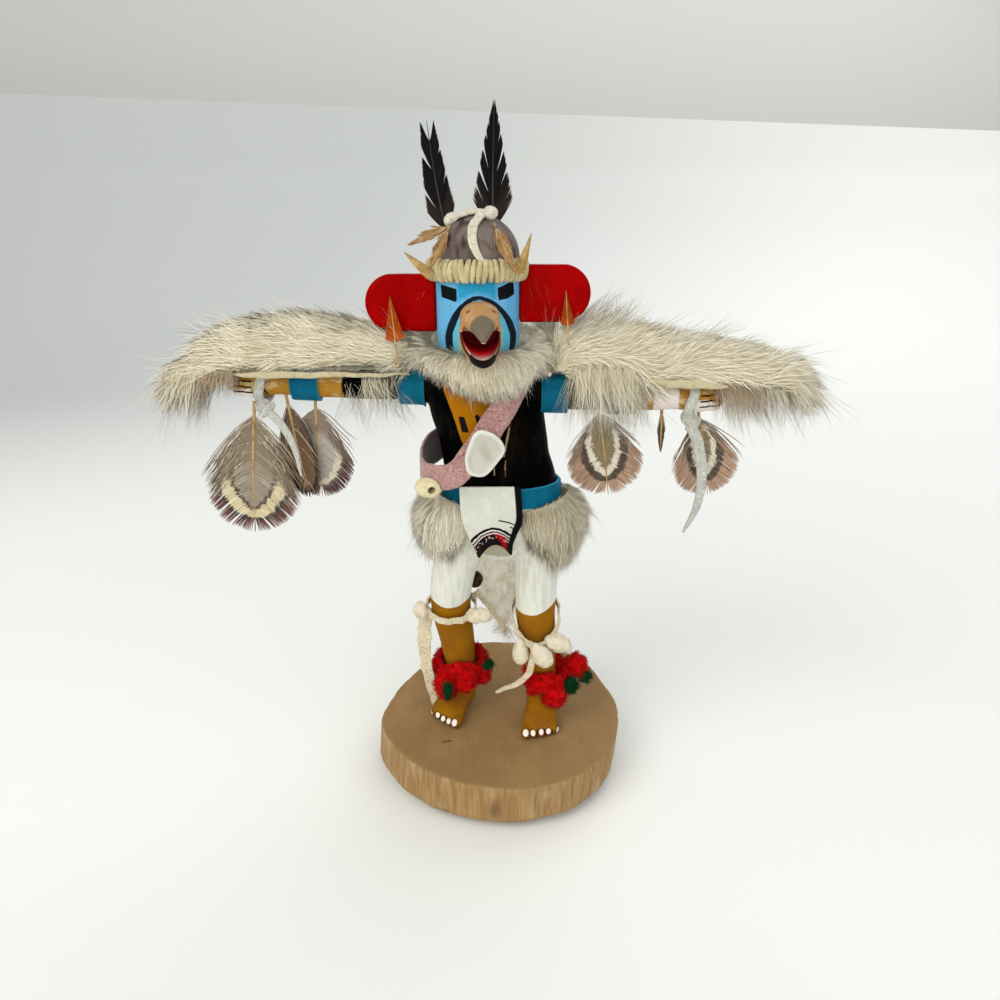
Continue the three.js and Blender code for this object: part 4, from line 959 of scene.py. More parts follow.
def scatter_tree(name):
    """Tufts scattered on a mesh, turned to its `comb` attribute; `thick` and `long` vary them over it."""
    tree = bpy.data.node_groups.new(name, "GeometryNodeTree")
    sockets = [("Hide", "Geometry"), ("Tuft", "Object"), ("Density", "Float"), ("Length", "Float"),
               ("Girth", "Float"),
               ("Spread", "Float"), ("Uneven", "Float"), ("Seed", "Int"), ("Finish", "Material")]
    for label, kind in sockets:
        tree.interface.new_socket(label, in_out="INPUT", socket_type="NodeSocket" + kind)
    tree.interface.new_socket("Pile", in_out="OUTPUT", socket_type="NodeSocketGeometry")

    add = adder(tree)
    given = add("NodeGroupInput").outputs
    def stored(label, kind="FLOAT"):
        return add("GeometryNodeInputNamedAttribute", {"Name": label}, data_type=kind).outputs[0]

    dense = add("ShaderNodeMath", {0: given["Density"], 1: stored("thick")}, operation="MULTIPLY").outputs[0]
    spots = add("GeometryNodeDistributePointsOnFaces",
                {"Mesh": given["Hide"], "Density": dense, "Seed": given["Seed"]})
    stray = add("FunctionNodeRandomValue", {0: (-1, -1, -1), 1: (1, 1, 1), "Seed": given["Seed"]},
                data_type="FLOAT_VECTOR")
    strayed = add("ShaderNodeVectorMath", {0: stray.outputs[0], "Scale": given["Spread"]},
                  operation="SCALE").outputs[0]
    aim = add("ShaderNodeVectorMath", {0: stored("comb", "FLOAT_VECTOR"), 1: strayed},
              operation="ADD").outputs[0]
    aim = add("ShaderNodeVectorMath", {0: aim}, operation="NORMALIZE").outputs[0]
    turn = add("FunctionNodeAxesToRotation", {0: aim, 1: spots.outputs["Normal"]}, primary_axis="Z",
               secondary_axis="X")
    low = add("ShaderNodeMath", {0: 1.0, 1: given["Uneven"]}, operation="SUBTRACT").outputs[0]
    high = add("ShaderNodeMath", {0: 1.0, 1: given["Uneven"]}, operation="ADD").outputs[0]
    uneven = add("FunctionNodeRandomValue", {2: low, 3: high, "Seed": given["Seed"]},
                 data_type="FLOAT").outputs[1]
    tall = add("ShaderNodeMath", {0: uneven, 1: stored("long")}, operation="MULTIPLY").outputs[0]
    tall = add("ShaderNodeMath", {0: tall, 1: given["Length"]}, operation="MULTIPLY").outputs[0]
    size = add("ShaderNodeCombineXYZ", {0: given["Girth"], 1: given["Girth"], 2: tall}).outputs[0]
    shape = add("GeometryNodeObjectInfo", {"Object": given["Tuft"]}).outputs["Geometry"]
    links = {"Points": spots.outputs["Points"], "Instance": shape, "Rotation": turn.outputs[0], "Scale": size}
    tufts = add("GeometryNodeInstanceOnPoints", links).outputs[0]
    shade = add("FunctionNodeRandomValue", {2: 0.0, 3: 1.0, "Seed": 5}, data_type="FLOAT").outputs[1]
    links = {"Geometry": tufts, "Name": "shade", "Value": shade}
    tufts = add("GeometryNodeStoreNamedAttribute", links, data_type="FLOAT", domain="INSTANCE").outputs[0]
    links = {"Geometry": tufts, "Name": "lay", "Value": spots.outputs["Normal"]}
    tufts = add("GeometryNodeStoreNamedAttribute", links, data_type="FLOAT_VECTOR",
                domain="INSTANCE").outputs[0]
    real = add("GeometryNodeRealizeInstances", {0: tufts}).outputs[0]
    dressed = add("GeometryNodeSetMaterial", {"Geometry": real, "Material": given["Finish"]}).outputs[0]
    add("NodeGroupOutput", {0: dressed})
    return tree


SCATTER = scatter_tree("tufts_on_a_hide")


def pile(name, hide, **values):
    """The tufts of one layer of pile on a hide, as a plain mesh."""
    mesh = hide.data.copy()
    made = bpy.data.objects.new(name, mesh)
    bpy.context.scene.collection.objects.link(made)
    run_tree(made, SCATTER, values)
    print(f"{name}: {len(made.data.polygons)} ribbon faces")
    return made


def as_one(name, *objects):
    """Joins objects into the first one, which takes the name."""
    with bpy.context.temp_override(active_object=objects[0], selected_editable_objects=list(objects)):
        bpy.ops.object.join()
    objects[0].name = name
    return objects[0]


# %% [markdown]
# ### Rabbit fur
# Rabbit hair is cream, greyer at its root and translucent at its tip. Light that passes the tips makes the
# outline of the pile glow, so tips are much lighter than roots. Patches of brown-grey agouti hair show at
# the ends of the wings. Light that wanders inside a dense pale pile brightens it, and a faint glow stands
# for that.

# %% Rabbit fur
def fur_finish(name, root, middle, tip, brown, glow=0.12):
    fur = Finish(name, middle, 0.8, Specular_IOR_Level=0.08, Sheen_Weight=0.35, Sheen_Roughness=0.6)
    hair = fur.attribute("hair")
    fur.layer(root, fur.between(hair, 0.0, 0.4, 0.6, 0.0))
    fur.layer(tip, fur.between(hair, 0.3, 0.95))
    fur.layer(brown, fur.attribute("brown"))
    shade = fur.attribute("shade")
    fur.layer("#cdbd93", fur.between(shade, 0.6, 1.0, 0.0, 0.16))
    fur.layer("#d9c99f", fur.between(fur.noise(9, 3.0), 0.5, 0.75, 0.0, 0.45))
    made = fur.soft(0.95).done()
    fur.tree.links.new(fur.colour, fur.shader.inputs["Emission Color"])
    fur.shader.inputs["Emission Strength"].default_value = glow
    return made


cream_fur = fur_finish("rabbit_fur_cream", "#e6d9b2", "#f3e9cb", "#fff8e2", "#a58a68")
white_fur = fur_finish("rabbit_fur_white", "#ddd3b3", "#eae2c9", "#faf3dd", "#b8a88c")
wisp_fur = fur_finish("rabbit_fur_grey_wisps", "#b3a894", "#c4bcaa", "#dad3c4", "#8a7762", glow=0.22)
tan_fur = fur_finish("rabbit_fur_tan", "#a48a6c", "#b59c7e", "#cdb698", "#8a7762", glow=0.1)
# The tail's stronger glow is painted light that lifts it out of the shade it hangs in.
tail_fur = fur_finish("rabbit_fur_tail", "#8f866b", "#d9d2bd", "#fffcf4", "#b8a88c", glow=0.35)
# Painted shade: a darker, browner copy of the hip fur for the right hip, which lies on the shaded side.
hip_fur = fur_finish("rabbit_fur_hip_shaded", "#b0a688", "#c4ba9d", "#dcd4bd", "#b8a88c", glow=0.12)
hide_finish = Finish("rabbit_hide_tanned", "#bdb391", 0.85)
hide_finish.layer("#9c9070", hide_finish.between(hide_finish.noise(2.5, 4.0), 0.45, 0.7, 0.0, 0.6))
hide_finish.raise_by(hide_finish.noise(1.2, 4.0), 0.4)
hide_finish = hide_finish.done()

PILE_TUFT = tuft("pile_tuft", 14, 1.6, 2.3, 1.3, 0.19, 11)
GUARD_TUFT = tuft("guard_tuft", 5, 1.2, 3.2, 2.6, 0.09, 12, levels=(0, 0.3, 0.6, 0.85, 1.0))


def hide_of(node, inset, voxel=1.5):
    hide = rounded(copy_of(node, node + "_pelt"), voxel, 6)
    return moved(hide, corners(hide) - normals(hide) * inset)


def unit(v):
    return v / np.maximum(np.linalg.norm(v, axis=1), 1e-9)[:, None]


def combed(hide, flow, lift, thick, long, brown=None):
    """Stores on the hide how its hair lies: along `flow`, raised towards the normal by `lift`."""
    n = normals(hide)
    flow = flow - n * (flow * n).sum(1)[:, None] * 0.7
    keep(hide, "comb", unit(unit(flow) + n * lift))
    keep(hide, "thick", thick)
    keep(hide, "long", long)
    keep(hide, "brown", np.zeros(len(thick)) if brown is None else brown)
    return hide


def furred(name, node, hide, finish, layers, extra=()):
    """Joins the hide and its layers of pile into one piece that stands for the CAD node."""
    made = [pile(f"{name}_{i}", hide, Finish=finish, Seed=3 + i, **layer) for i, layer in enumerate(layers)]
    for attribute in ("comb", "thick", "long"):
        hide.data.attributes.remove(hide.data.attributes[attribute])
    keep(hide, "hair", np.full(len(hide.data.vertices), 0.3))
    keep(hide, "shade", np.full(len(hide.data.vertices), 0.5))
    keep(hide, "lay", normals(hide))
    hide.data.materials.clear()
    hide.data.materials.append(finish)
    whole = as_one(name, hide, *made, *extra)
    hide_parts(node)
    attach(whole, "root")
    print(f"{name}: {sum(len(p.vertices) - 2 for p in whole.data.polygons)} triangles")
    return whole


# %% Hanging hair
def hanging(name, path, radius, flow, finish, density, length, seed, spread=0.2):
    """A narrow strip of hide from which long hair hangs, as a plain mesh that another piece takes in."""
    strip = piece(name, tube([(*p, radius, radius) for p in path], 24, circle(10)))
    n = normals(strip)
    total = len(n)
    keep(strip, "comb", unit(np.asarray(flow, float)[None] + n * 0.25))
    keep(strip, "thick", np.ones(total))
    keep(strip, "long", np.ones(total))
    keep(strip, "brown", np.zeros(total))
    hair = pile(name + "_hair", strip, Tuft=GUARD_TUFT, Density=density, Length=length * MM, Girth=1.0,
                Spread=spread,
                Uneven=0.35, Seed=seed, Finish=finish)
    bpy.data.objects.remove(strip)
    return hair


# %% [markdown]
# ### Fur wings
# Each wing is a strip of pelt glued along the arm, its cut hide edge showing as a pale line in front. The
# hair runs outwards along the arm, stands a little on top and droops at the wing's end.

# %% Wings
def ramp(value, low, high):
    t = np.clip((value - low) / (high - low), 0, 1)
    return t * t * (3 - 2 * t)


# Hanging hair: name, path, radius, flow, finish, tufts per square metre, length, seed and spread.
LOOSE = {
    "left": [
        ("armpit", [(-49, -2.5, 139), (-41, -2, 139), (-32, -1, 138.6)], 1.6, (0.12, 0, -1), wisp_fur,
         0.4e6, 17, 61, 0.45),
        ("armpit_pale", [(-42, -7, 142), (-34, -7, 142)], 1.6, (0.3, -0.1, -1), cream_fur, 0.5e6, 10, 66,
         0.45),
        ("patch", [(-91, -7.4, 143), (-86, -8, 143.4), (-82, -8, 143.4)], 1.5, (-0.35, -0.1, -1), tan_fur,
         1.0e6, 7, 62, 0.3),
        ("droop", [(-94, -6, 141), (-91, -7, 141.4)], 1.4, (-0.5, -0.1, -1), tan_fur, 1.0e6, 15, 63, 0.2),
        ("end", [(-104, -4, 144), (-99, -6, 143), (-94, -6, 142)], 2.0, (-0.4, -0.1, -1), cream_fur, 0.8e6,
         14, 67, 0.4),
        ("end_wisps", [(-102, -2, 143), (-95, -4, 142)], 1.6, (-0.4, -0.1, -1), wisp_fur, 0.3e6, 16, 68, 0.5),
    ],
    "right": [
        ("clump", [(24, -8.6, 144), (31, -10.6, 144), (42, -10.8, 142.6)], 2.4, (0.1, -0.25, -1), cream_fur,
         0.75e6, 18, 63, 0.4),
        ("clump_grey", [(24, -9, 141), (33, -10, 140.6), (44, -10, 140)], 1.8, (0.15, -0.1, -1), wisp_fur,
         0.4e6, 16, 65, 0.5),
        ("droop", [(69, -7, 140), (76, -7.4, 139.6), (82, -6.6, 139.6)], 1.7, (0.22, -0.1, -1), tan_fur,
         1.1e6, 11, 64, 0.3),
        ("droop_pale", [(72, -6, 139), (84, -6, 139.4)], 1.6, (0.3, -0.1, -1), wisp_fur, 0.5e6, 17, 66, 0.4),
        ("end", [(82, -5, 140.4), (90, -5, 141), (97, -3, 142)], 2.0, (0.4, -0.1, -1), cream_fur, 0.8e6, 14,
         68, 0.4),
        ("end_wisps", [(84, -4, 139.6), (95, -2, 141.6)], 1.6, (0.4, -0.1, -1), wisp_fur, 0.35e6, 18, 70,
         0.5),
        ("ruff", [(20, 5, 151), (27, 4, 155), (36, 3, 155)], 2.6, (0.9, -0.1, 0.6), cream_fur, 0.6e6, 14,
         69, 0.6),
    ],
}
for side, sign in (("left", -1), ("right", 1)):
    hide = hide_of(f"fur_wing_{side}", 1.9)
    spots, n = corners(hide), normals(hide)
    if sign < 0:
        low_edge = ramp(-spots[:, 1], -1, 4) * ramp(-spots[:, 2], -151, -142)
        spots[:, 2] += 0.8 * low_edge * ramp(spots[:, 0], -90, -82)
        moved(hide, spots)
    x, y, z = spots.T
    inner, outer = (-22, -107) if sign < 0 else (10, 101)
    along = (x - inner) / (outer - inner)
    end = ramp(along, 0.8, 1.0)
    start = ramp(-along, -0.16, -0.02)
    sway = rough_noise(spots, 11.0, 2 + sign)
    swirl = rough_noise(spots, 17.0, 7 + sign)
    outwards = sign * (1 - 0.5 * end - 1.7 * start) - 0.5 * np.abs(swirl)
    upwards = 0.15 - 1.1 * end + 0.9 * sway - 0.8 * swirl
    flow = np.stack([outwards, 0 * x - 0.05, upwards], 1)
    top = ramp(n[:, 2], 0.2, 0.8)
    flow[:, 2] += 0.2 * top
    flow[:, 1] += 0.35 * ramp(n[:, 1], 0.0, 0.6)
    bottom = ramp(-n[:, 2], 0.6, 0.9)
    thick = 1 - 0.5 * bottom * ramp(-y, -6, 2)
    long = 1 + 0.35 * end + 0.3 * rough_noise(spots, 8.0, 5) + 0.3 * start
    brown = np.clip(end * ramp(-z, -140, -128) * 1.2 + 0.25 * ramp(sway, 0.1, 0.5) * end, 0, 0.85)
    low_front = ramp(-y, 1, 6) * ramp(-z, -152, -143)
    drape = ramp(along, 0.84, 0.97) * ramp(-z, -151, -142)
    if sign > 0:
        drape = np.maximum(drape, ramp(x, 18, 26) * ramp(-x, -50, -42) * low_front)
    flow = flow * (1 - drape)[:, None] + drape[:, None] * (0.2 * sign, -0.25, -1)
    long = (long + 0.8 * drape) * (1 - 0.35 * ramp(along, 0.9, 1.0))
    combed(hide, flow, 0.34 + 0.4 * end[:, None] + 0.25 * start[:, None], thick, long, brown)
    edge_path = {-1: [(-84, -8.8, 142.9), (-78, -9.6, 143.1), (-66, -9.9, 143.3), (-52, -9.7, 143.1),
                      (-38, -9.2, 143.2), (-28, -8.0, 143.2)],
                 1: [(43, -11.0, 141.4), (54, -11.6, 140.8), (63, -11.4, 140.2), (71, -10.2, 139.8)]}[sign]
    widths = [0.2, 0.8, 1.0, 0.9, 0.6, 0.2] if sign < 0 else [0.3, 1.3, 1.3, 0.3]
    strip = piece(f"hide_edge_{side}",
                  tube([(*p, w, 0.35) for p, w in zip(edge_path, widths)], 70, circle(12)), hide_finish)
    wavy = corners(strip)
    moved(strip,
          wavy + np.stack([0 * wavy[:, 0], 0.5 * rough_noise(wavy, 4.0), 0.7 * rough_noise(wavy, 6.0, 3)], 1))
    loose = [hanging(f"{name}_{side}", *how) for name, *how in LOOSE[side]]
    layers = [
        {"Tuft": PILE_TUFT, "Density": 0.74e6, "Length": 6.8 * MM, "Girth": 1.0, "Spread": 0.34,
         "Uneven": 0.3},
        {"Tuft": GUARD_TUFT, "Density": 0.1e6, "Length": 12 * MM, "Girth": 1.2, "Spread": 0.5, "Uneven": 0.5},
    ]
    furred(f"pelt_wing_{side}", f"fur_wing_{side}", hide, cream_fur, layers, (strip, *loose))

# %% [markdown]
# ### Collar, hips and tail
# The collar's pile is short and brushed down over the shoulders, the hip pieces hang, and the tail is thin
# enough to see through at its end.

# %% Collar
hide = hide_of("fur_collar", 1.6, 1.2)
spots, n = corners(hide), normals(hide)
aside = np.where(spots[:, 0] > -1, (spots[:, 0] + 1) * 1.4, -1 - spots[:, 0])
spots[:, 2] += 7.5 * ramp(aside, 3, 24) * ramp(-spots[:, 1], -2, 6) * np.clip((150 - spots[:, 2]) / 12, 0, 1)
moved(hide, spots)
x, y, z = spots.T
out = unit(np.stack([x + 6, y, 0 * x], 1))
flow = out * 0.55 + np.array([0, 0, -0.75]) + out * ramp(n[:, 2], 0.2, 0.9)[:, None]
flow[:, 0] += 0.35 * rough_noise(spots, 7.0, 1)
near_face = ramp(-(out * n).sum(1), 0.3, 0.8)
beside = ramp(np.abs(x + 6), 14, 21) * ramp(-np.abs(y), -14, -4)
flow[:, 0] += np.sign(x + 6) * 1.6 * beside
flow[:, 2] += 0.6 * beside
combed(hide, flow, 0.5, 1 - 0.6 * near_face,
       1 - 0.35 * near_face + 0.2 * rough_noise(spots, 6.0) + 0.7 * beside)
furred("pelt_collar", "fur_collar", hide, cream_fur, [
    {"Tuft": PILE_TUFT, "Density": 1.1e6, "Length": 5.2 * MM, "Girth": 0.85, "Spread": 0.24, "Uneven": 0.25},
    {"Tuft": GUARD_TUFT, "Density": 0.1e6, "Length": 8 * MM, "Girth": 0.8, "Spread": 0.35, "Uneven": 0.3},
])

# %% Hips and tail
for side, sign in (("left", -1), ("right", 1)):
    hide = hide_of(f"hip_fur_{side}", 1.8, 1.3)
    spots = corners(hide)
    inward = -sign * spots[:, 0]
    high = ramp(spots[:, 2], 76, 92)
    shift = 6.0 * ramp(inward, -22, -13) * ramp(-spots[:, 1], -1, 6) * high
    shift += 2.0 * ramp(-inward, 22, 31)
    spots[:, 0] -= sign * shift
    spots[:, 2] = np.where(spots[:, 2] < 99, 99 - (99 - spots[:, 2]) * 0.66, spots[:, 2])
    moved(hide, spots)
    n = normals(hide)
    low = ramp(-spots[:, 2], -96, -82)
    sideways = 0.25 * sign * ramp(sign * n[:, 0], 0, 0.8) + 0.2 * rough_noise(spots, 8.0)
    flow = np.stack([sideways, 0.15 * n[:, 1], -1 + 0 * low], 1)
    flow[:, 0] += sign * 0.9 * ramp(spots[:, 2], 94, 101) * ramp(sign * n[:, 0], 0.2, 0.8)
    inner = ramp(-sign * n[:, 0], 0.1, 0.7)
    combed(hide, flow, 0.34, 1 - 0.3 * inner, 1 - 0.45 * inner + 0.25 * low + 0.2 * rough_noise(spots, 6.0))
    # The right hip takes the darker copy of the fur, as painted shade.
    furred(f"pelt_hip_{side}", f"hip_fur_{side}", hide, white_fur if sign < 0 else hip_fur, [
        {"Tuft": PILE_TUFT, "Density": 1.0e6, "Length": 6.8 * MM, "Girth": 0.9, "Spread": 0.24,
         "Uneven": 0.25},
        {"Tuft": GUARD_TUFT, "Density": 0.1e6, "Length": 11.5 * MM, "Girth": 0.9, "Spread": 0.36,
         "Uneven": 0.35},
    ])
hide = hide_of("tail_fur", 2.0, 1.1)
spots = corners(hide)
spots[:, 0] = -1.6 + (spots[:, 0] - 1.2) * 1.5
moved(hide, spots)
low = ramp(-spots[:, 2], -80, -45)
flow = np.stack([0.7 * rough_noise(spots, 5.0), 0 * low, -1 + 0 * low], 1)
combed(hide, flow, 0.7, 1 - 0.35 * low, 1 + 0.3 * low)
furred("pelt_tail", "tail_fur", hide, tail_fur, [
    {"Tuft": PILE_TUFT, "Density": 0.5e6, "Length": 6 * MM, "Girth": 1.0, "Spread": 0.5, "Uneven": 0.4},
    {"Tuft": GUARD_TUFT, "Density": 0.08e6, "Length": 12 * MM, "Girth": 1.0, "Spread": 0.4, "Uneven": 0.4},
])
for shape in (PILE_TUFT, GUARD_TUFT):
    bpy.data.objects.remove(shape)

# %% [markdown]
# ## Feathers
# A feather is a quill with a row of barbs down each side, hooked together into two vanes that split here
# and there. Drawn as a flat card it would look like paper, so every barb is a narrow ribbon of its own: it
# leaves the quill, sweeps towards the tip and ends at the feather's outline. Each point keeps how far it is
# from that outline in millimetres, because the bands on a pheasant's feather follow its edge.

# %% Barbs and quill
def broad(u):
    """A body feather: wide, with a round end."""
    if u > 0.6:
        return (1 - ((u - 0.6) / 0.4) ** 2.4) ** 0.55
    return 0.7 + 0.3 * math.sin(u / 0.6 * math.pi / 2)


def feather(name, node, path, half, finish, quill_finish, count=110, facing=(0, -1, 0), quill=0.55,
            vane_from=0.1,
            quill_to=0.84, sweep=0.3, downy=0.25, splits=5, fringe=0.5, seed=0, outline=None, cup=0.08):
    """Barb after barb down both sides of the quill; barbs of one lock draw together and leave a split."""
    rng = np.random.default_rng(seed)
    spine = smooth_path(path, 200)
    length = np.linalg.norm(np.diff(spine, axis=0), axis=1).sum()
    tangent = unit(np.gradient(spine, axis=0))
    normal = np.asarray(facing, float)
    outline = outline or broad
    points, faces, edge, along, strand = [], [], [], [], []

    def at(u, row):
        i = np.clip(u, 0, 1) * 199
        k = min(int(i), 198)
        return row[k] * (1 - (i - k)) + row[k + 1] * (i - k)

    for side in (-1, 1):
        cuts = np.sort(rng.uniform(0.12, 0.97, splits))
        middles = [(a + b) / 2 for a, b in zip([0, *cuts], [*cuts, 1])]
        curl = rng.normal(0, 0.5, splits + 1)
        for t in np.linspace(0, 1, count):
            lock = int(np.searchsorted(cuts, t))
            loose = max(0.0, 1 - t / downy) if downy else 0.0
            drawn = t + (middles[lock] - t) * (0.22 if outline is broad
                                               else 0.35) * (1 - loose) * (0 < lock < splits)
            root_at = vane_from + (quill_to - vane_from) * t
            end_at = vane_from + sweep + (1 - vane_from - sweep) * drawn**0.9 + loose * rng.normal(0, 0.07)
            ragged = 1 - 0.2 * loose + rng.normal(0, 0.03) + loose * rng.normal(0, 0.22)
            reach = half * outline(min(max(end_at, 0.0), 1.0)) * ragged
            root, tip_centre = at(root_at, spine), at(end_at, spine)
            n = normal - at(root_at, tangent) * normal.dot(at(root_at, tangent))
            n /= np.linalg.norm(n)
            w = np.cross(at(root_at, tangent), n) * side
            lift = rng.normal(0, 0.1) + curl[lock] + loose * rng.normal(0, 1.3)
            first = len(points)
            steps = 7
            width = max(0.34, length * (1 - vane_from) / count * (1.7 - 0.9 * loose))
            total = max(np.linalg.norm(w * reach + tip_centre - root), 0.3)
            for k in range(steps + 1):
                s = k / steps
                wave = loose * 0.8 * math.sin(s * 7 + t * 900)
                p = root + w * (reach * s**0.84) + (tip_centre - root) * s**1.16
                p = p + n * (cup * reach * s * (1 - s) * 2 + lift * s * s + wave * s)
                p = p + at(root_at, tangent) * wave * 0.6 * s
                ahead = unit((w * reach * (1.2 - 0.4 * s) + (tip_centre - root) * (0.8 + 0.4 * s))[None])[0]
                flat = np.cross(n, ahead)
                taper = (1 - fringe * s**3) if k < steps else 0.15
                for sign in (-1, 1):
                    points.append(p + flat * sign * width / 2 * taper)
                    edge.append((1 - s) * total * (0.62 + 0.38 * t))
                    along.append(t)
                    strand.append((t * 37.7 + side) % 1.0)
            for k in range(steps):
                i = first + 2 * k
                faces.append((i, i + 1, i + 3, i + 2) if side > 0 else (i, i + 2, i + 3, i + 1))
    vanes = (np.array(points), faces)
    shaft_rings = []
    for k, p in enumerate(smooth_path(path, 25)):
        thinner = quill * (1 - 0.85 * k / 24)
        shaft_rings.append((*p, thinner, thinner * 0.8))
    shaft = tube(shaft_rings, 60, circle(8), facing=normal)
    made = piece(name, together(vanes, shaft))
    rest = len(shaft[0])
    keep(made, "edge", np.concatenate([edge, np.full(rest, 9)]))
    keep(made, "along", np.concatenate([along, np.zeros(rest)]))
    keep(made, "strand", np.concatenate([strand, np.zeros(rest)]))
    made.data.materials.append(finish)
    made.data.materials.append(quill_finish)
    made.data.polygons.foreach_set("material_index", [0] * len(vanes[1]) + [1] * len(shaft[1]))
    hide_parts(node)
    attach(made, "root")
    print(f"{name}: {len(made.data.polygons)} faces, {length:.0f} mm long")
    return made


# %% [markdown]
# ### Finishes of the feathers
# Keratin is semi-matt, and its barbs catch light in streaks. A pheasant's body feather has a fluffy grey
# base, a grey-brown middle, a cream band that follows the edge, a dark band outside it and a chestnut
# fringe. The crest feathers are black all through.

# %% Banded and plain feathers
def banded(name, bands, base, streak, band_from=0.3):
    """bands: (distance from the edge in millimetres, colour) from the fringe inwards."""
    made = Finish(name, bands[-1][1], 0.55, Specular_IOR_Level=0.35, Sheen_Weight=0.15)
    edge = made.attribute("edge")
    waver = made.math("MULTIPLY_ADD", made.noise(2.4, 2.0), 2.2, -1.1)
    reach = made.math("ADD", edge, waver)
    for far, colour in reversed(bands[:-1]):
        made.layer(colour, made.between(reach, far - 0.35, far + 0.35, 1.0, 0.0))
    made.layer(base, made.between(made.attribute("along"), band_from - 0.1, band_from + 0.1, 0.85, 0.0))
    made.layer(streak, made.between(made.noise(1.2, 4.0, rough=0.7), 0.5, 0.72, 0.0, 0.5))
    # A share of the barbs is painted darker and a share lighter; the lighter streaks are painted highlight,
    # where barbs catch the light.
    made.layer("#2a1d16", made.between(made.attribute("strand"), 0.72, 1.0, 0.0, 0.35))
    made.layer("#f0e6d4", made.between(made.attribute("strand"), 0.0, 0.16, 0.3, 0.0))
    return made.done()


quill_tan = Finish("feather_quill_horn", "#b89a6a", 0.4, Specular_IOR_Level=0.05)
quill_tan.layer("#8a6d43", quill_tan.between(quill_tan.noise(3, 3.0), 0.45, 0.7))
quill_tan = quill_tan.done()
quill_dark = Finish("feather_quill_dark_horn", "#100d0c", 0.4).done()
big_left = banded("pheasant_feather_grey",
                  [(3.6, "#5e332c"), (5.2, "#33251f"), (8.6, "#cbbd95"), (9.8, "#413729"), (20, "#8b8170")],
                  "#7f6f5a", "#5f5140", 0.45)
inner_left = banded("pheasant_feather_dark_tip",
                    [(3.4, "#4a2424"), (4.6, "#5d5046"), (6.6, "#d4cab2"), (20, "#a8a297")],
                    "#7a6857", "#7d7366", 0.3)
right_banded = banded("pheasant_feather_chestnut",
                      [(5.2, "#a98870"), (7.6, "#43362a"), (9.4, "#d8cfbb"), (20, "#7d7052")],
                      "#7c6c56", "#6b5844", 0.1)
dark_brown = banded("pheasant_feather_dark", [(1.0, "#4a3323"), (2.2, "#1d1410"), (20, "#6b4c30")],
                    "#54402c", "#2a1d15", 0.1)
black_feather = Finish("crow_feather_black", "#0e0c0d", 0.42, Specular_IOR_Level=0.05)
# Lighter streaks on some barbs: painted sheen.
black_feather.layer("#2a2020", black_feather.between(black_feather.attribute("strand"), 0.7, 1.0, 0.0, 0.5))
black_feather.layer("#4d4038", black_feather.between(black_feather.attribute("along"), 0.1, 0.3, 0.25, 0.0))
black_feather = black_feather.done()
tan_feather = Finish("feather_tip_amber", "#a8854f", 0.5, Specular_IOR_Level=0.1)
tan_feather.layer("#cdb07c", tan_feather.between(tan_feather.noise(2, 3.0), 0.42, 0.65, 0.0, 0.6))
tan_feather.layer("#80602f", tan_feather.between(tan_feather.attribute("strand"), 0.6, 1.0, 0.0, 0.5))
tan_feather = tan_feather.done()
rust_feather = Finish("feather_tip_rust", "#963c08", 0.45, Specular_IOR_Level=0.05)
rust_feather.layer("#6a2206", rust_feather.between(rust_feather.attribute("strand"), 0.5, 1.0, 0.0, 0.7))
rust_feather.layer("#b25a18", rust_feather.between(rust_feather.noise(2, 3.0), 0.45, 0.65, 0.0, 0.5))
rust_feather = rust_feather.done()
brown_feather = Finish("feather_bits_brown", "#a37d4d", 0.6, Specular_IOR_Level=0.1)
brown_feather.layer("#7a5838", brown_feather.between(brown_feather.noise(1.4, 3.0), 0.45, 0.62, 0.0, 0.7))
# Lighter streaks on some barbs: painted highlight.
brown_feather.layer("#cdb89c", brown_feather.between(brown_feather.attribute("strand"), 0.0, 0.3, 0.5, 0.0))
brown_feather = brown_feather.done()


# %% Wing feathers
def hung(root, tip, bow=-2.0):
    """A quill from its root to its tip, in the figure's own height, bowed a little towards the front."""
    a, b = np.array(root, float), np.array(tip, float)
    middle = (a + b) / 2 + (0, bow, 0)
    return [a + (0, 0, SOLE), middle + (0, 0, SOLE), b + (0, 0, SOLE)]


feather("feather_left_outer", "wing_feather_left_outer", hung((-79, -3.8, 119.6), (-82.6, -7.5, 75.6)),
        15.4, big_left, quill_tan,
        count=220, sweep=0.42, downy=0.45, splits=12, fringe=0.45, seed=21, quill=0.6, quill_to=0.88)
feather("feather_left_middle", "wing_feather_left_middle",
        hung((-69.6, -0.8, 121.4), (-64, -3.4, 86.6), -1), 5.8, dark_brown, quill_tan,
        count=90, sweep=0.35, downy=0.1, splits=4, fringe=0.7, seed=22)
feather("feather_left_inner", "wing_feather_left_inner", hung((-60.6, 1.2, 120), (-61, 1, 84.8)), 11.6,
        inner_left, quill_tan,
        count=190, sweep=0.42, downy=0.2, splits=10, fringe=0.45, seed=23)
feather("feather_right_inner", "wing_feather_right_inner", hung((32, -1.2, 118), (36.8, -1.6, 86.8)), 12.2,
        right_banded, quill_tan,
        count=190, sweep=0.42, downy=0.12, splits=12, fringe=0.5, seed=24)
feather("feather_right_middle", "wing_feather_right_middle",
        hung((52.2, -4, 117.2), (52.8, -4.4, 102.6), 0), 2.1, dark_brown, quill_tan,
        count=50, sweep=0.4, downy=0, splits=2, seed=25,
        outline=lambda t: max(0.0, min(1, t * 6)) * (1 - t) ** 0.8 + 0.05)
feather("feather_right_outer", "wing_feather_right_outer", hung((64, -3.2, 117), (70, -3.6, 87.4)), 10.6,
        right_banded, quill_tan,
        count=180, sweep=0.42, downy=0.2, splits=11, fringe=0.5, seed=26)

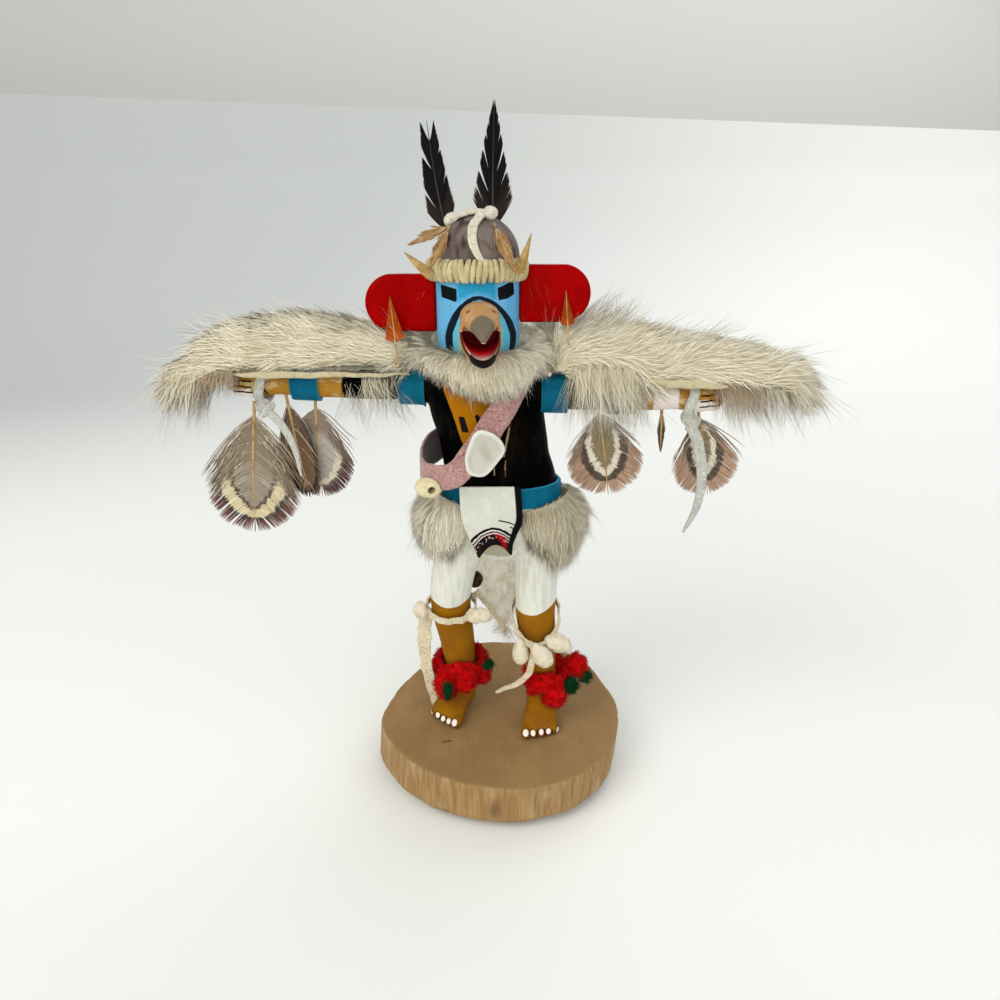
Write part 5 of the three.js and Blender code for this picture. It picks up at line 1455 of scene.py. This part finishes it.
# %% Crest, brow, temple and ear plumes
def spear(u):
    """A stiff crest feather, widest low down and running to a point."""
    return 0.75 + 0.25 * u / 0.3 if u < 0.3 else max(0.03, (1 - u) / 0.7) ** 0.85


def blade(u):
    """A worn crest feather whose tip has broken off square."""
    return 1.0 - 0.62 * u**1.2


def spike(u):
    return max(0.03, 1 - u) ** 0.8


def arrow(u):
    return max(0.03, (1 - u) / 0.58)


feather("crest_plume_left", "crest_feather_left", [(-16.2, 6.4, 182.6), (-19.4, 7, 198), (-21.6, 5, 215.4)],
        5.2, black_feather, quill_dark,
        count=120, sweep=0.2, downy=0, splits=3, fringe=0.3, seed=31, outline=blade)
feather("crest_plume_right", "crest_feather_right", [(-2.2, 7, 182.6), (-2.2, 8, 200), (-1.7, 5, 221)], 6.4,
        black_feather, quill_dark,
        count=150, sweep=0.24, downy=0, splits=7, fringe=0.3, seed=34, outline=spear)
for name, root, tip, half, seed in (("outer", (-14.6, -6, 172.6), (-27.2, -9, 167.4), 2.4, 41),
                                    ("left", (-14.8, -7, 172.4), (-20.6, -16.4, 160.4), 2.3, 42),
                                    ("right", (-1.8, -7, 173.4), (4.6, -17.4, 159.4), 2.6, 43)):
    feather(f"brow_bits_{name}", f"brow_plume_{name}", hung(root, tip, -1.0), half, brown_feather,
            quill_tan, count=90,
            facing=(0, -1, 0.5), sweep=0.35, downy=0.1, splits=5, fringe=0.5, seed=seed, quill=0.25,
            outline=spear)
for side, root, tip, seed in (("left", (-20, -9.6, 158.6), (-28.2, -9, 165.4), 51),
                              ("right", (5.4, -10.8, 159.2), (9.2, -9.8, 170.6), 52)):
    feather(f"temple_tip_{side}", f"temple_plume_{side}", hung(root, tip, -1.4), 1.9, tan_feather,
            quill_tan, count=70, sweep=0.06,
            vane_from=0.02, quill_to=0.97, downy=0, splits=0, fringe=0.2, seed=seed, quill=0.2,
            outline=spike)
for side, root, tip, half, seed in (("left", (-31.4, -9.4, 131.6), (-33.8, -3.7, 152.4), 3.0, 53),
                                    ("right", (21.2, -7.4, 138), (20.2, -3.7, 154), 2.2, 54)):
    feather(f"ear_tip_{side}", f"ear_plume_{side}", hung(root, tip, 0), half, rust_feather, quill_tan,
            count=90, sweep=0.06,
            vane_from=0.36, quill_to=0.97, downy=0, splits=0, fringe=0.1, seed=seed, quill=0.35,
            outline=arrow)

# %% [markdown]
# ## Leather, suede and cloth
# The bandolier is split suede, napped on both sides, cut by hand. The breechcloth is stiff leather painted
# white, flaring forwards into an arch whose hem is painted in black, white and red. Laces are narrow suede.

# %% Suede
def suede(name, colour, light, dark, inside=None):
    made = Finish(name, colour, 0.92, Sheen_Weight=0.35, Sheen_Roughness=0.6, Specular_IOR_Level=0.2)
    nap = made.noise(0.85, 4.0, rough=0.75)
    made.layer(dark, made.between(nap, 0.5, 0.66, 0.0, 0.9))
    made.layer(light, made.between(made.noise(0.9, 3.0, rough=0.7, turn=(1, 1, 0)), 0.52, 0.68, 0.0, 0.8))
    made.layer(dark, made.between(made.noise(4, 3.0), 0.5, 0.75, 0.0, 0.35))
    # Painted shade: the inner face of a loop, where it faces the body.
    if inside:
        made.paint(inside, "inside", edge=0.3, wobble=0.3)
    made.raise_by(nap, 0.35)
    made.raise_by(made.noise(1.5, 3.0), 0.3)
    return made.done()


pink_suede = suede("split_suede_pink", "#ad827d", "#d6b1a9", "#6f4a47", inside="#350d12")
cream_suede = suede("suede_lace_cream", "#d6c9ab", "#f0e7d0", "#a8966f")
pale_suede = suede("suede_lace_pale", "#d3cdba", "#ece7da", "#aaa28c")
white_suede = suede("suede_lace_white", "#b7b8af", "#dadbd3", "#8f9189")

# %% Bandolier
BANDOLIER = [(3, -14, 122.8, 4.2), (-2.4, -14.6, 114.6, 4.2), (-7.2, -15.8, 107.4, 4), (-15, -17.2, 98.8, 4),
             (-22.6, -13.6, 97.8, 4), (-25.8, -6, 97.8, 4.6), (-24.4, 3.6, 100, 6.2), (-15, 13.2, 105, 5.6),
             (0, 14.2, 115, 4.2), (9, 11, 124.6, 4), (8.6, 0, 131.4, 4)]


def from_trunk(p):
    return np.array([p[0] + 3, p[1], max(0.0, p[2] - SOLE - 124) * 2])


rings = [(x, y, z + SOLE, half, 0.55) for x, y, z, half in BANDOLIER]
wide = [(-1, -0.5), (-0.97, -1), (-0.5, -1), (0, -1), (0.5, -1), (0.97, -1), (1, -0.5),
        (1, 0.5), (0.97, 1), (0.5, 1), (0, 1), (-0.5, 1), (-0.97, 1), (-1, 0.5)]
strap = piece("suede_bandolier", tube(rings, 260, wide, facing=from_trunk, closed=True))
spots = corners(strap)
moved(strap, spots + np.stack([0 * spots[:, 0], 0 * spots[:, 0], 0.35 * rough_noise(spots, 3.0)], 1)
      + normals(strap) * (0.12 * rough_noise(spots, 1.4, 6))[:, None])
spots = corners(strap)
# The inner face of the loop at the back and left, turned towards the trunk, gets painted shade.
inwards = -(unit(np.stack([spots[:, 0] + 3, spots[:, 1], 0 * spots[:, 0]], 1)) * normals(strap)).sum(1)
behind = (spots[:, 0] < -12) & (spots[:, 1] > -12)
keep(strap, "inside", np.where(behind, 0.2 - inwards, 1))
dress(strap, pink_suede, "bandolier", slot="pink_suede")

# %% Breechcloth
PANEL = [(0, -3.2, 9.9), (0.3, -2.8, 10), (0.5, -2.4, 9.6), (0.7, -2.4, 7.8), (0.85, -2.2, 6.2),
         (1, -1.6, 5.2)]
TOP, HEM, ARCH, BULGE = 108.2, 91.2, 6.8, 7.4
CLOTH_ROWS = 90
cloth_points, cloth_side, cloth_hem = [], [], []
for share, middle, half in smooth_path(PANEL, CLOTH_ROWS):
    for a in np.linspace(-1, 1, CLOTH_ROWS):
        hem = HEM - ARCH * a * a + 0.5 * a
        out = BULGE * share**2.4 * (1 - 0.75 * a * a)
        cloth_points.append((middle + half * a, -14.6 - out, TOP + (hem - TOP) * share))
        cloth_side.append(a)
        cloth_hem.append((1 - share) * 19)
starts = [i * CLOTH_ROWS + j for i in range(CLOTH_ROWS - 1) for j in range(CLOTH_ROWS - 1)]
faces = [(k, k + 1, k + 1 + CLOTH_ROWS, k + CLOTH_ROWS) for k in starts]
cloth_points = np.array(cloth_points)
cloth = piece("painted_breechcloth", (cloth_points, faces))
keep(cloth, "across", cloth_points[:, 0])
keep(cloth, "side", cloth_side)
keep(cloth, "to_hem", cloth_hem)
strokes = np.minimum(
    from_line(cloth_points[:, [0, 2]], [(-0.4, 97.4), (2.6, 96.6), (5.4, 95.2)], 0.2),
    from_line(cloth_points[:, [0, 2]], [(3.2, 95.0), (5.4, 93.6)], 0.22),
)
keep(cloth, "strokes", strokes)
modified(cloth, "SOLIDIFY", thickness=0.9 * MM, offset=0.0, use_even_offset=True)
modified(cloth, "BEVEL", width=0.18 * MM, segments=2, limit_method="ANGLE", angle_limit=1.0)
applied(cloth)
white_leather = Finish("cowhide_painted_white", "#c8cabf", 0.5, IOR=1.1)
crackle = white_leather.noise(1.1, 4.0, rough=0.7)
white_leather.layer("#b4b5aa", white_leather.between(crackle, 0.5, 0.72, 0.0, 0.6))
white_leather.layer("#d6d6cc", white_leather.between(white_leather.noise(5, 3.0), 0.5, 0.7, 0.0, 0.6))
waver = white_leather.math("MULTIPLY_ADD", white_leather.noise(1.5, 2.0), 0.6, -0.3)
hem = white_leather.math("ADD", white_leather.attribute("to_hem"), waver)
sideways = white_leather.attribute("across")
for height, colour in ((4.7, "#0e0b0b"), (3.95, "#d5d0c8"), (3.6, "#171012"), (3.2, "#cdbcb6"),
                       (2.85, "#150d10")):
    white_leather.layer(colour, white_leather.between(hem, height - 0.1, height + 0.1, 1.0, 0.0))
red_from = white_leather.math("MULTIPLY_ADD", hem, -0.9, 0.6)
red = white_leather.between(white_leather.math("SUBTRACT", sideways, red_from), -0.4, 0.4)
red = white_leather.math("MULTIPLY", red, white_leather.between(sideways, 1.5, 2.1, 1.0, 0.0))
white_leather.layer("#a30d18", white_leather.math("MULTIPLY", red, white_leather.math("LESS_THAN", hem, 2.8)))
dots = white_leather.between(white_leather.noise(0.9, 1.0), 0.58, 0.64, 0.0, 0.8)
white_leather.layer("#c9a7a0",
                    white_leather.math("MULTIPLY", dots, white_leather.math("COMPARE", hem, 1.9, 0.5)))
white_leather.layer("#0d0c0d", white_leather.between(white_leather.attribute("side"), 0.76, 0.8))
white_leather.paint("#141212", "strokes", edge=0.08, wobble=0.05)
white_leather.raise_by(crackle, 0.12)
white_leather.raise_by(white_leather.noise(3, 2.0), 0.2)
white_leather = white_leather.done()
dress(cloth, white_leather, "breechcloth", slot="white_leather")

# %% Laces
for node, finish, slot in (("crown_lace", pale_suede, "suede_lace"),
                           ("garter_left", cream_suede, "suede_lace"),
                           ("garter_right", cream_suede, "suede_lace")):
    made = rounded(copy_of(node), 0.27, 3)
    spots = corners(made)
    spots += normals(made) * (0.22 * rough_noise(spots, 2.2, 4))[:, None]
    spots += np.stack([0.4 * rough_noise(spots, 5.0, k) for k in (1, 2, 3)], 1)
    if node == "crown_lace":
        down_front = ramp(-spots[:, 1], 4.5, 7)
        low = np.clip((191 - spots[:, 2]) / 14, 0, 1)
        spots[:, 0] += down_front * (-3.0 * np.sin(low * math.pi) + 1.2 * low)
        spots[:, 2] -= 2.6 * down_front * low
    else:
        spots -= normals(made) * 0.2
    moved(made, spots)
    dress(made, finish, node, slot=slot)

# %% Wrist laces
# The hand's centre, the knots, the tail and the lace's half-width.
WRISTS = {
    "left": ((-76.4, -0.8, 124.6), [(-76, -4.8, 118.2), (-74.6, -6, 117.2)],
             [(-76, -5.4, 118), (-70.6, -7.6, 113.6), (-66.4, -9, 106.4), (-64.6, -9.4, 96)], 1.3),
    "right": ((60.4, -4.7, 120.8), [(60.4, -6.8, 114.8), (61.8, -7.6, 113)],
              [(60.4, -7.4, 114.4), (63.4, -10, 107), (65.4, -10.4, 97), (64.8, -10.4, 86),
               (61.2, -10, 76.4)], 1.7),
}
for side, ((x0, y0, z0), knots, tail, wide_half) in WRISTS.items():
    around = np.linspace(0, 2 * math.pi, 16, endpoint=False)
    loop = []
    for a in around:
        round_wrist = (x0 + 0.8 * math.sin(2 * a), y0 - 4.876 * math.cos(a), z0 + SOLE + 5.565 * math.sin(a))
        loop.append((*round_wrist, 1.5, 0.5))
    parts = [tube(loop, 70, wide, facing=lambda q: np.array([0, q[1] - y0, q[2] - z0 - SOLE]), closed=True)]
    for k, knot in enumerate(knots):
        turns = []
        for a in around:
            x, y = knot[0] + 1.5 * math.cos(a), knot[1] + 0.9 * math.sin(a + k)
            turns.append((x, y, knot[2] + SOLE + 1.3 * math.sin(a + 1.2 * k), 1.1, 0.5))
        parts.append(tube(turns, 50, wide, facing=lambda q: np.array([0.2, -1, 0.1]), closed=True))
        parts.append(ellipsoid((knot[0], knot[1], knot[2] + SOLE), (1.5, 1.1, 1.4)))
    count = len(tail)
    rings = []
    for k, (x, y, z) in enumerate(tail):
        rings.append((x, y, z + SOLE, wide_half * (1 - 0.8 * (k / (count - 1)) ** 4), 0.45))
    parts.append(tube(rings, 70, wide, facing=lambda q: np.array([0.25 * math.sin(q[2] / 5), -1, 0.1])))
    made = piece(f"suede_wrist_lace_{side}", together(*parts))
    spots = corners(made)
    moved(made, spots + normals(made) * (0.15 * rough_noise(spots, 1.6, 4))[:, None])
    dress(made, white_suede, f"wrist_lace_{side}", slot="suede_lace")

# %% [markdown]
# ## Shells, bead and bell
# The garters hold small knobbly shells, smooth and slightly glossy, creamier in their hollows. The disc is
# a cut and polished shell with a raised rim. The bead is a polished seed bead and the bell a dark ball.

# %% Shell finishes
shell_finish = Finish("shell_polished_white", "#d5ccb6", 0.28, Specular_IOR_Level=0.05, Coat_Weight=0.3)
shell_finish.layer("#b9a67e",
                   shell_finish.between(shell_finish.noise(2.0, 4.0, rough=0.65), 0.5, 0.68, 0.0, 0.8))
shell_finish.layer("#e3bcb6",
                   shell_finish.between(shell_finish.noise(3.4, 2.0, turn=(1, 2, 0)), 0.6, 0.75, 0.0, 0.5))
shell_finish.raise_by(shell_finish.noise(1.0, 3.0), 0.12)
shell_finish = shell_finish.done()
disc_finish = Finish("mother_of_pearl_disc", "#bdbbb0", 0.22, Specular_IOR_Level=0.05, Coat_Weight=0.3)
disc_finish.layer("#a5a191", disc_finish.between(disc_finish.noise(6, 2.0), 0.45, 0.65, 0.0, 0.7))
# Painted highlight: the raised rim is lighter, where it catches the light.
disc_finish.layer("#dcdbd2", disc_finish.between(disc_finish.attribute("from_rim"), 0.3, 1.6, 0.9, 0.0))
disc_finish = disc_finish.done()
bead_finish = Finish("bone_bead_polished", "#d9cfa9", 0.35, Specular_IOR_Level=0.05)
bead_finish.layer("#b5a67a", bead_finish.between(bead_finish.noise(3, 3.0), 0.48, 0.7, 0.0, 0.6))
bead_finish.layer("#f0ead2",
                  bead_finish.between(bead_finish.noise(4, 2.0, turn=(2, 0, 1)), 0.55, 0.7, 0.0, 0.6))
bead_finish.raise_by(bead_finish.noise(2, 2.0), 0.15)
bead_finish = bead_finish.done()
bell_finish = Finish("brass_bell_darkened", "#2b1d17", 0.3, Specular_IOR_Level=0.05)
bell_finish.layer("#5b3f30", bell_finish.between(bell_finish.noise(2, 3.0), 0.5, 0.7, 0.0, 0.7))
bell_finish.raise_by(bell_finish.noise(1.5, 2.0), 0.2)
bell_finish = bell_finish.done()


# %% Garter shells
def nugget(centre, half, turn, seed, drop, knobs, roll):
    """A knobbly teardrop, turned about the vertical by `turn` and leaned to the left by `roll` degrees."""
    points, faces = ellipsoid((0, 0, 0), half, turn, 40, 28)
    tall = points[:, 2] / half[2]
    points[:, :2] *= (1 - drop * tall)[:, None]
    lumps = rough_noise(points, 2.6, seed) * knobs + rough_noise(points, 1.2, seed + 3) * knobs * 0.4
    points += unit(points) * lumps[:, None]
    lean = math.radians(roll)
    x, z = points[:, 0].copy(), points[:, 2].copy()
    points[:, 0] = x * math.cos(lean) - z * math.sin(lean)
    points[:, 2] = x * math.sin(lean) + z * math.cos(lean)
    return points + np.asarray(centre) + (0, 0, SOLE), faces


# Centre, half-sizes, turn, taper, knobs and lean of each shell.
SHELLS = {
    "left_outer": ((-28.4, -3, 43), (2.9, 2.8, 3.4), 0, 0.05, 0.5, 0),
    "left_inner": ((-7.8, -5.6, 42.4), (4.8, 2.8, 3.0), -10, 0.1, 0.7, 8),
    "right_inner": ((7.2, -12.2, 31.8), (2.8, 2.6, 5.2), 10, 0.35, 0.3, 4),
    "right_middle": ((14.6, -14.4, 31.4), (3.4, 2.7, 5.4), -10, 0.28, 0.5, 28),
    "right_outer": ((20.6, -10.4, 34.0), (5.4, 3.1, 3.3), 10, 0.05, 0.8, -18),
}
for seed, (where, (centre, half, turn, drop, knobs, roll)) in enumerate(SHELLS.items()):
    made = piece(f"knobbly_shell_{where}", nugget(centre, half, turn, seed, drop, knobs, roll))
    dress(made, shell_finish, f"garter_shell_{where}", slot="shell")

# %% Disc, bead and bell
DISC = [(-5.7, 128.3), (-4.0, 127.9), (-2.2, 127.2), (-0.5, 125.8), (0.8, 124.1), (1.6, 121.7), (1.1, 119.9),
        (-0.2, 118.2), (-3.3, 114.4), (-4.8, 113.3), (-6.4, 113.0), (-9.5, 113.6), (-10.4, 114.7),
        (-10.8, 116.4),
        (-10.9, 119.3), (-9.6, 123.5), (-7.8, 127.2)]
outline = smooth_path(DISC, 64, closed=True)
middle = outline.mean(0)
rows = []
for share, front_y in ((0.05, -19.0), (0.3, -19.05), (0.55, -19.2), (0.75, -19.5), (0.88, -19.75),
                       (0.95, -19.7), (0.99, -19.4), (1.0, -19.0),
                       (0.99, -18.6), (0.95, -18.3), (0.8, -18.0), (0.5, -17.7), (0.1, -17.6)):
    flat = middle + (outline - middle) * share
    rows.append(np.stack([flat[:, 0], np.full(len(outline), front_y), flat[:, 1]], 1))
disc = piece("pearl_disc", skin(rows))
spots = corners(disc)
spots[:, 1] += 0.5 * rough_noise(spots, 7.0) + 0.024 * (spots[:, 0] + 5) ** 2
moved(disc, spots)
keep(disc, "from_rim", -from_outline(spots[:, [0, 2]], outline))
dress(disc, disc_finish, "shell_disc", slot="shell")
for node, finish, slot in (("bandolier_bead", bead_finish, "bead_wood"),
                           ("knee_bell", bell_finish, "bell_brown")):
    made = rounded(copy_of(node), 0.28, 5)
    spots = corners(made)
    moved(made, spots + normals(made) * (0.2 * rough_noise(spots, 2.6))[:, None])
    dress(made, finish, node, slot=slot)

# %% [markdown]
# ## Yarn and wool
# The headband is thick yarn wound upright round a core, so a tree sets one strand at each point of a circle.
# The ankles wear loose red wool with bits of green felt in it: lumps with short fibres scattered over them.

# %% Headband
def strand_shape(name):
    """One turn of yarn, standing up, bulging outwards along X."""
    rings = [(-0.9, 0, -2.9, 0.5, 0.5), (0.3, 0, -2.5, 0.8, 0.8), (0.9, 0, -1.2, 0.96, 0.95),
             (1.0, 0, 0, 1.0, 1.0),
             (0.9, 0, 1.2, 0.96, 0.95), (0.3, 0, 2.5, 0.8, 0.8), (-0.9, 0, 2.9, 0.5, 0.5)]
    return piece(name, tube(rings, 22, circle(14), facing=(1, 0, 0)))


def winding_tree(name):
    tree = bpy.data.node_groups.new(name, "GeometryNodeTree")
    for label, kind in (("Strand", "Object"), ("Count", "Int"), ("Radius", "Float"), ("Centre", "Vector"),
                        ("Seed", "Int"), ("Finish", "Material")):
        tree.interface.new_socket(label, in_out="INPUT", socket_type="NodeSocket" + kind)
    tree.interface.new_socket("Band", in_out="OUTPUT", socket_type="NodeSocketGeometry")

    add = adder(tree)
    given = add("NodeGroupInput").outputs
    ring = add("GeometryNodeMeshCircle", {"Vertices": given["Count"], "Radius": given["Radius"]}).outputs[0]
    away = add("GeometryNodeInputPosition").outputs[0]
    tilt = add("FunctionNodeRandomValue",
               {0: (-0.16, -0.16, 1.0), 1: (0.16, 0.16, 1.0), "Seed": given["Seed"]},
               data_type="FLOAT_VECTOR").outputs[0]
    turn = add("FunctionNodeAxesToRotation", {0: away, 1: tilt}, primary_axis="X",
               secondary_axis="Z").outputs[0]
    size = add("FunctionNodeRandomValue",
               {0: (0.85, 0.85, 0.93), 1: (1.12, 1.15, 1.06), "Seed": given["Seed"]},
               data_type="FLOAT_VECTOR").outputs[0]
    shape = add("GeometryNodeObjectInfo", {"Object": given["Strand"]}).outputs["Geometry"]
    strands = add("GeometryNodeInstanceOnPoints",
                  {"Points": ring, "Instance": shape, "Rotation": turn, "Scale": size}).outputs[0]
    real = add("GeometryNodeRealizeInstances", {0: strands}).outputs[0]
    placed = add("GeometryNodeTransform", {"Geometry": real, "Translation": given["Centre"]}).outputs[0]
    dressed = add("GeometryNodeSetMaterial", {"Geometry": placed, "Material": given["Finish"]}).outputs[0]
    add("NodeGroupOutput", {0: dressed})
    return tree


yarn = Finish("wool_yarn_cream", "#bdaf80", 0.9, Sheen_Weight=0.4, Specular_IOR_Level=0.2)
ply = yarn.noise(0.7, 3.0, stretch=(1, 1, 0.25), turn=(0, 0.3, 0.2))
yarn.layer("#8f8157", yarn.between(ply, 0.5, 0.7, 0.0, 0.7))
yarn.layer("#dbd2aa", yarn.between(yarn.noise(2.4, 3.0), 0.48, 0.68, 0.0, 0.6))
yarn.raise_by(ply, 0.4)
yarn = yarn.done()
strand = strand_shape("yarn_strand")
winding = winding_tree("yarn_wound_upright")
band = bpy.data.objects.new("yarn_headband", bpy.data.meshes.new("yarn_headband"))
bpy.context.scene.collection.objects.link(band)
run_tree(band, winding, {
    "Strand": strand,
    "Count": 54,
    "Radius": (HEAD_R + 1.1) * MM,
    "Centre": (HEAD_X * MM, 0, 174.2 * MM),
    "Seed": 4,
    "Finish": yarn,
})
bpy.data.objects.remove(strand)
dress(band, None, "headband", slot="yarn")

# %% Ankle wool and felt
def wool_finish(name, colour, dark, light):
    made = Finish(name, colour, 0.95, Sheen_Weight=0.06, Specular_IOR_Level=0.02)
    made.layer(dark, made.between(made.noise(2.2, 3.0), 0.48, 0.68, 0.0, 0.75))
    made.layer(light, made.between(made.attribute("hair"), 0.3, 1.0, 0.0, 0.5))
    return made.soft(0.6).done()


red_wool = wool_finish("wool_loose_red", "#c4070a", "#8b0406", "#d41a16")
green_wool = wool_finish("wool_felt_green", "#0c3a1d", "#04180c", "#1d5c33")
FIBRES = tuft("wool_fibres", 7, 0.5, 1.3, 0.9, 0.13, 14)
for node, finish, slot, lumps, thick in (
    ("ankle_tuft_left", red_wool, "red_wool", 0.9, 1.5e6),
    ("ankle_tuft_right", red_wool, "red_wool", 0.9, 1.5e6),
    ("felt_leaf_left_front", green_wool, "green_felt", 0.3, 2.5e6),
    ("felt_leaf_left_side", green_wool, "green_felt", 0.3, 2.5e6),
    ("felt_leaf_right_front", green_wool, "green_felt", 0.4, 2.5e6),
    ("felt_leaf_right_side", green_wool, "green_felt", 0.4, 2.5e6),
):
    lump = rounded(copy_of(node, node + "_wool"), 0.45, 3)
    spots = corners(lump)
    swell = lumps * rough_noise(spots, 3.2, 2) + 0.4 * lumps * rough_noise(spots, 1.4, 5) - 0.3
    spots += normals(lump) * swell[:, None]
    if finish is green_wool:
        spots = spots.mean(0) + (spots - spots.mean(0)) * 1.3
    if node == "ankle_tuft_right":
        spots[:, 0] = np.where(spots[:, 0] < 12, 12 + (spots[:, 0] - 12) * 0.4, spots[:, 0])
    spots[:, 2] = np.maximum(spots[:, 2], SOLE + 0.2)
    moved(lump, spots)
    n = normals(lump)
    keep(lump, "comb", n)
    keep(lump, "thick", np.ones(len(n)))
    keep(lump, "long", 1 + 0.5 * rough_noise(spots, 2.0, 8))
    fuzz = pile(node + "_fibres", lump, Tuft=FIBRES, Density=thick, Length=1.7 * MM, Girth=0.6, Spread=0.8,
                Uneven=0.4, Seed=9, Finish=finish)
    keep(lump, "hair", np.full(len(n), 0.1))
    keep(lump, "lay", n)
    lump.data.materials.clear()
    lump.data.materials.append(finish)
    whole = as_one(node + "_wool", lump, fuzz)
    dress(whole, None, node, slot=slot)
bpy.data.objects.remove(FIBRES)

# %% [markdown]
# ## Light and floor
# The doll was photographed on a white sheet by a large window, so the strongest light is wide, soft, up
# and to the left. Weaker ones fill from the right, the front and behind, and a pale world lifts the
# shadows. The floor is a white sheet that turns up at the back, with a grey wall behind it.

# %% Stage
sheet = Finish("paper_matt_white", "#f2f4f1", 0.95)
# Painted shade: the sheet greys towards the back left, where less light reaches it.
shade_to_back_left = sheet.math("SUBTRACT", sheet.node("ShaderNodeSeparateXYZ", {0: sheet.place((1, 1, 1))}).outputs[1],
                      sheet.node("ShaderNodeSeparateXYZ", {0: sheet.place((0.8, 1, 1))}).outputs[0])
sheet.layer("#b9bdbd", sheet.between(shade_to_back_left, 380, 1050, 0.0, 0.7))
sheet = sheet.done()
wall_finish = Finish("wall_matt_grey", "#dfdedb", 0.95).done()
sweep = [(-700, 0), (500, 0), (640, 12), (760, 60), (850, 150), (890, 250)]
rows = []
for y, z in smooth_path(sweep, 40):
    rows.append([(-1500, y, z), (1500, y, z)])
top = [[(-1500, 892, 369), (1500, 892, 269)]]
points = np.array(rows + top, float).reshape(-1, 3)
strips = [(2 * i, 2 * i + 1, 2 * i + 3, 2 * i + 2) for i in range(len(points) // 2 - 1)]
floor = piece("paper_sweep", (points, strips), sheet)
wall_corners = [(-2500, 1100, -10), (2500, 1100, -10), (2500, 1100, 2500), (-2500, 1100, 2500)]
wall = piece("pale_wall", (wall_corners, [(0, 1, 2, 3)]), wall_finish)


def window(name, where, target, size, power, colour="#ffffff"):
    light = bpy.data.objects.new(name, bpy.data.lights.new(name, "AREA"))
    bpy.context.scene.collection.objects.link(light)
    light.data.shape, light.data.size, light.data.size_y = "RECTANGLE", size[0], size[1]
    light.data.energy = power
    light.data.color = linear(colour)[:3]
    light.location = where
    light.rotation_euler = (Vector(target) - Vector(where)).to_track_quat("-Z", "Y").to_euler()


window("window_left", (-0.7, -0.6, 0.9), (0, 0, 0.1), (0.8, 0.8), 7.4, "#fffaf0")
window("room_right", (0.9, -0.7, 0.6), (0, 0, 0.1), (0.9, 0.9), 2.6, "#f6f8ff")
window("room_front", (0.0, -1.3, 0.45), (0, 0, 0.1), (1.4, 0.9), 6.0, "#fffaf0")
window("window_behind", (0.5, 0.8, 0.9), (0.2, 0.2, 0.1), (1.2, 0.8), 5.0)
bpy.context.scene.view_settings.view_transform = "Standard"
world = bpy.data.worlds.new("room")
bpy.context.scene.world = world
world.use_nodes = True
world.node_tree.nodes["Background"].inputs[0].default_value = linear("#f3f6f8")
world.node_tree.nodes["Background"].inputs[1].default_value = 0.52
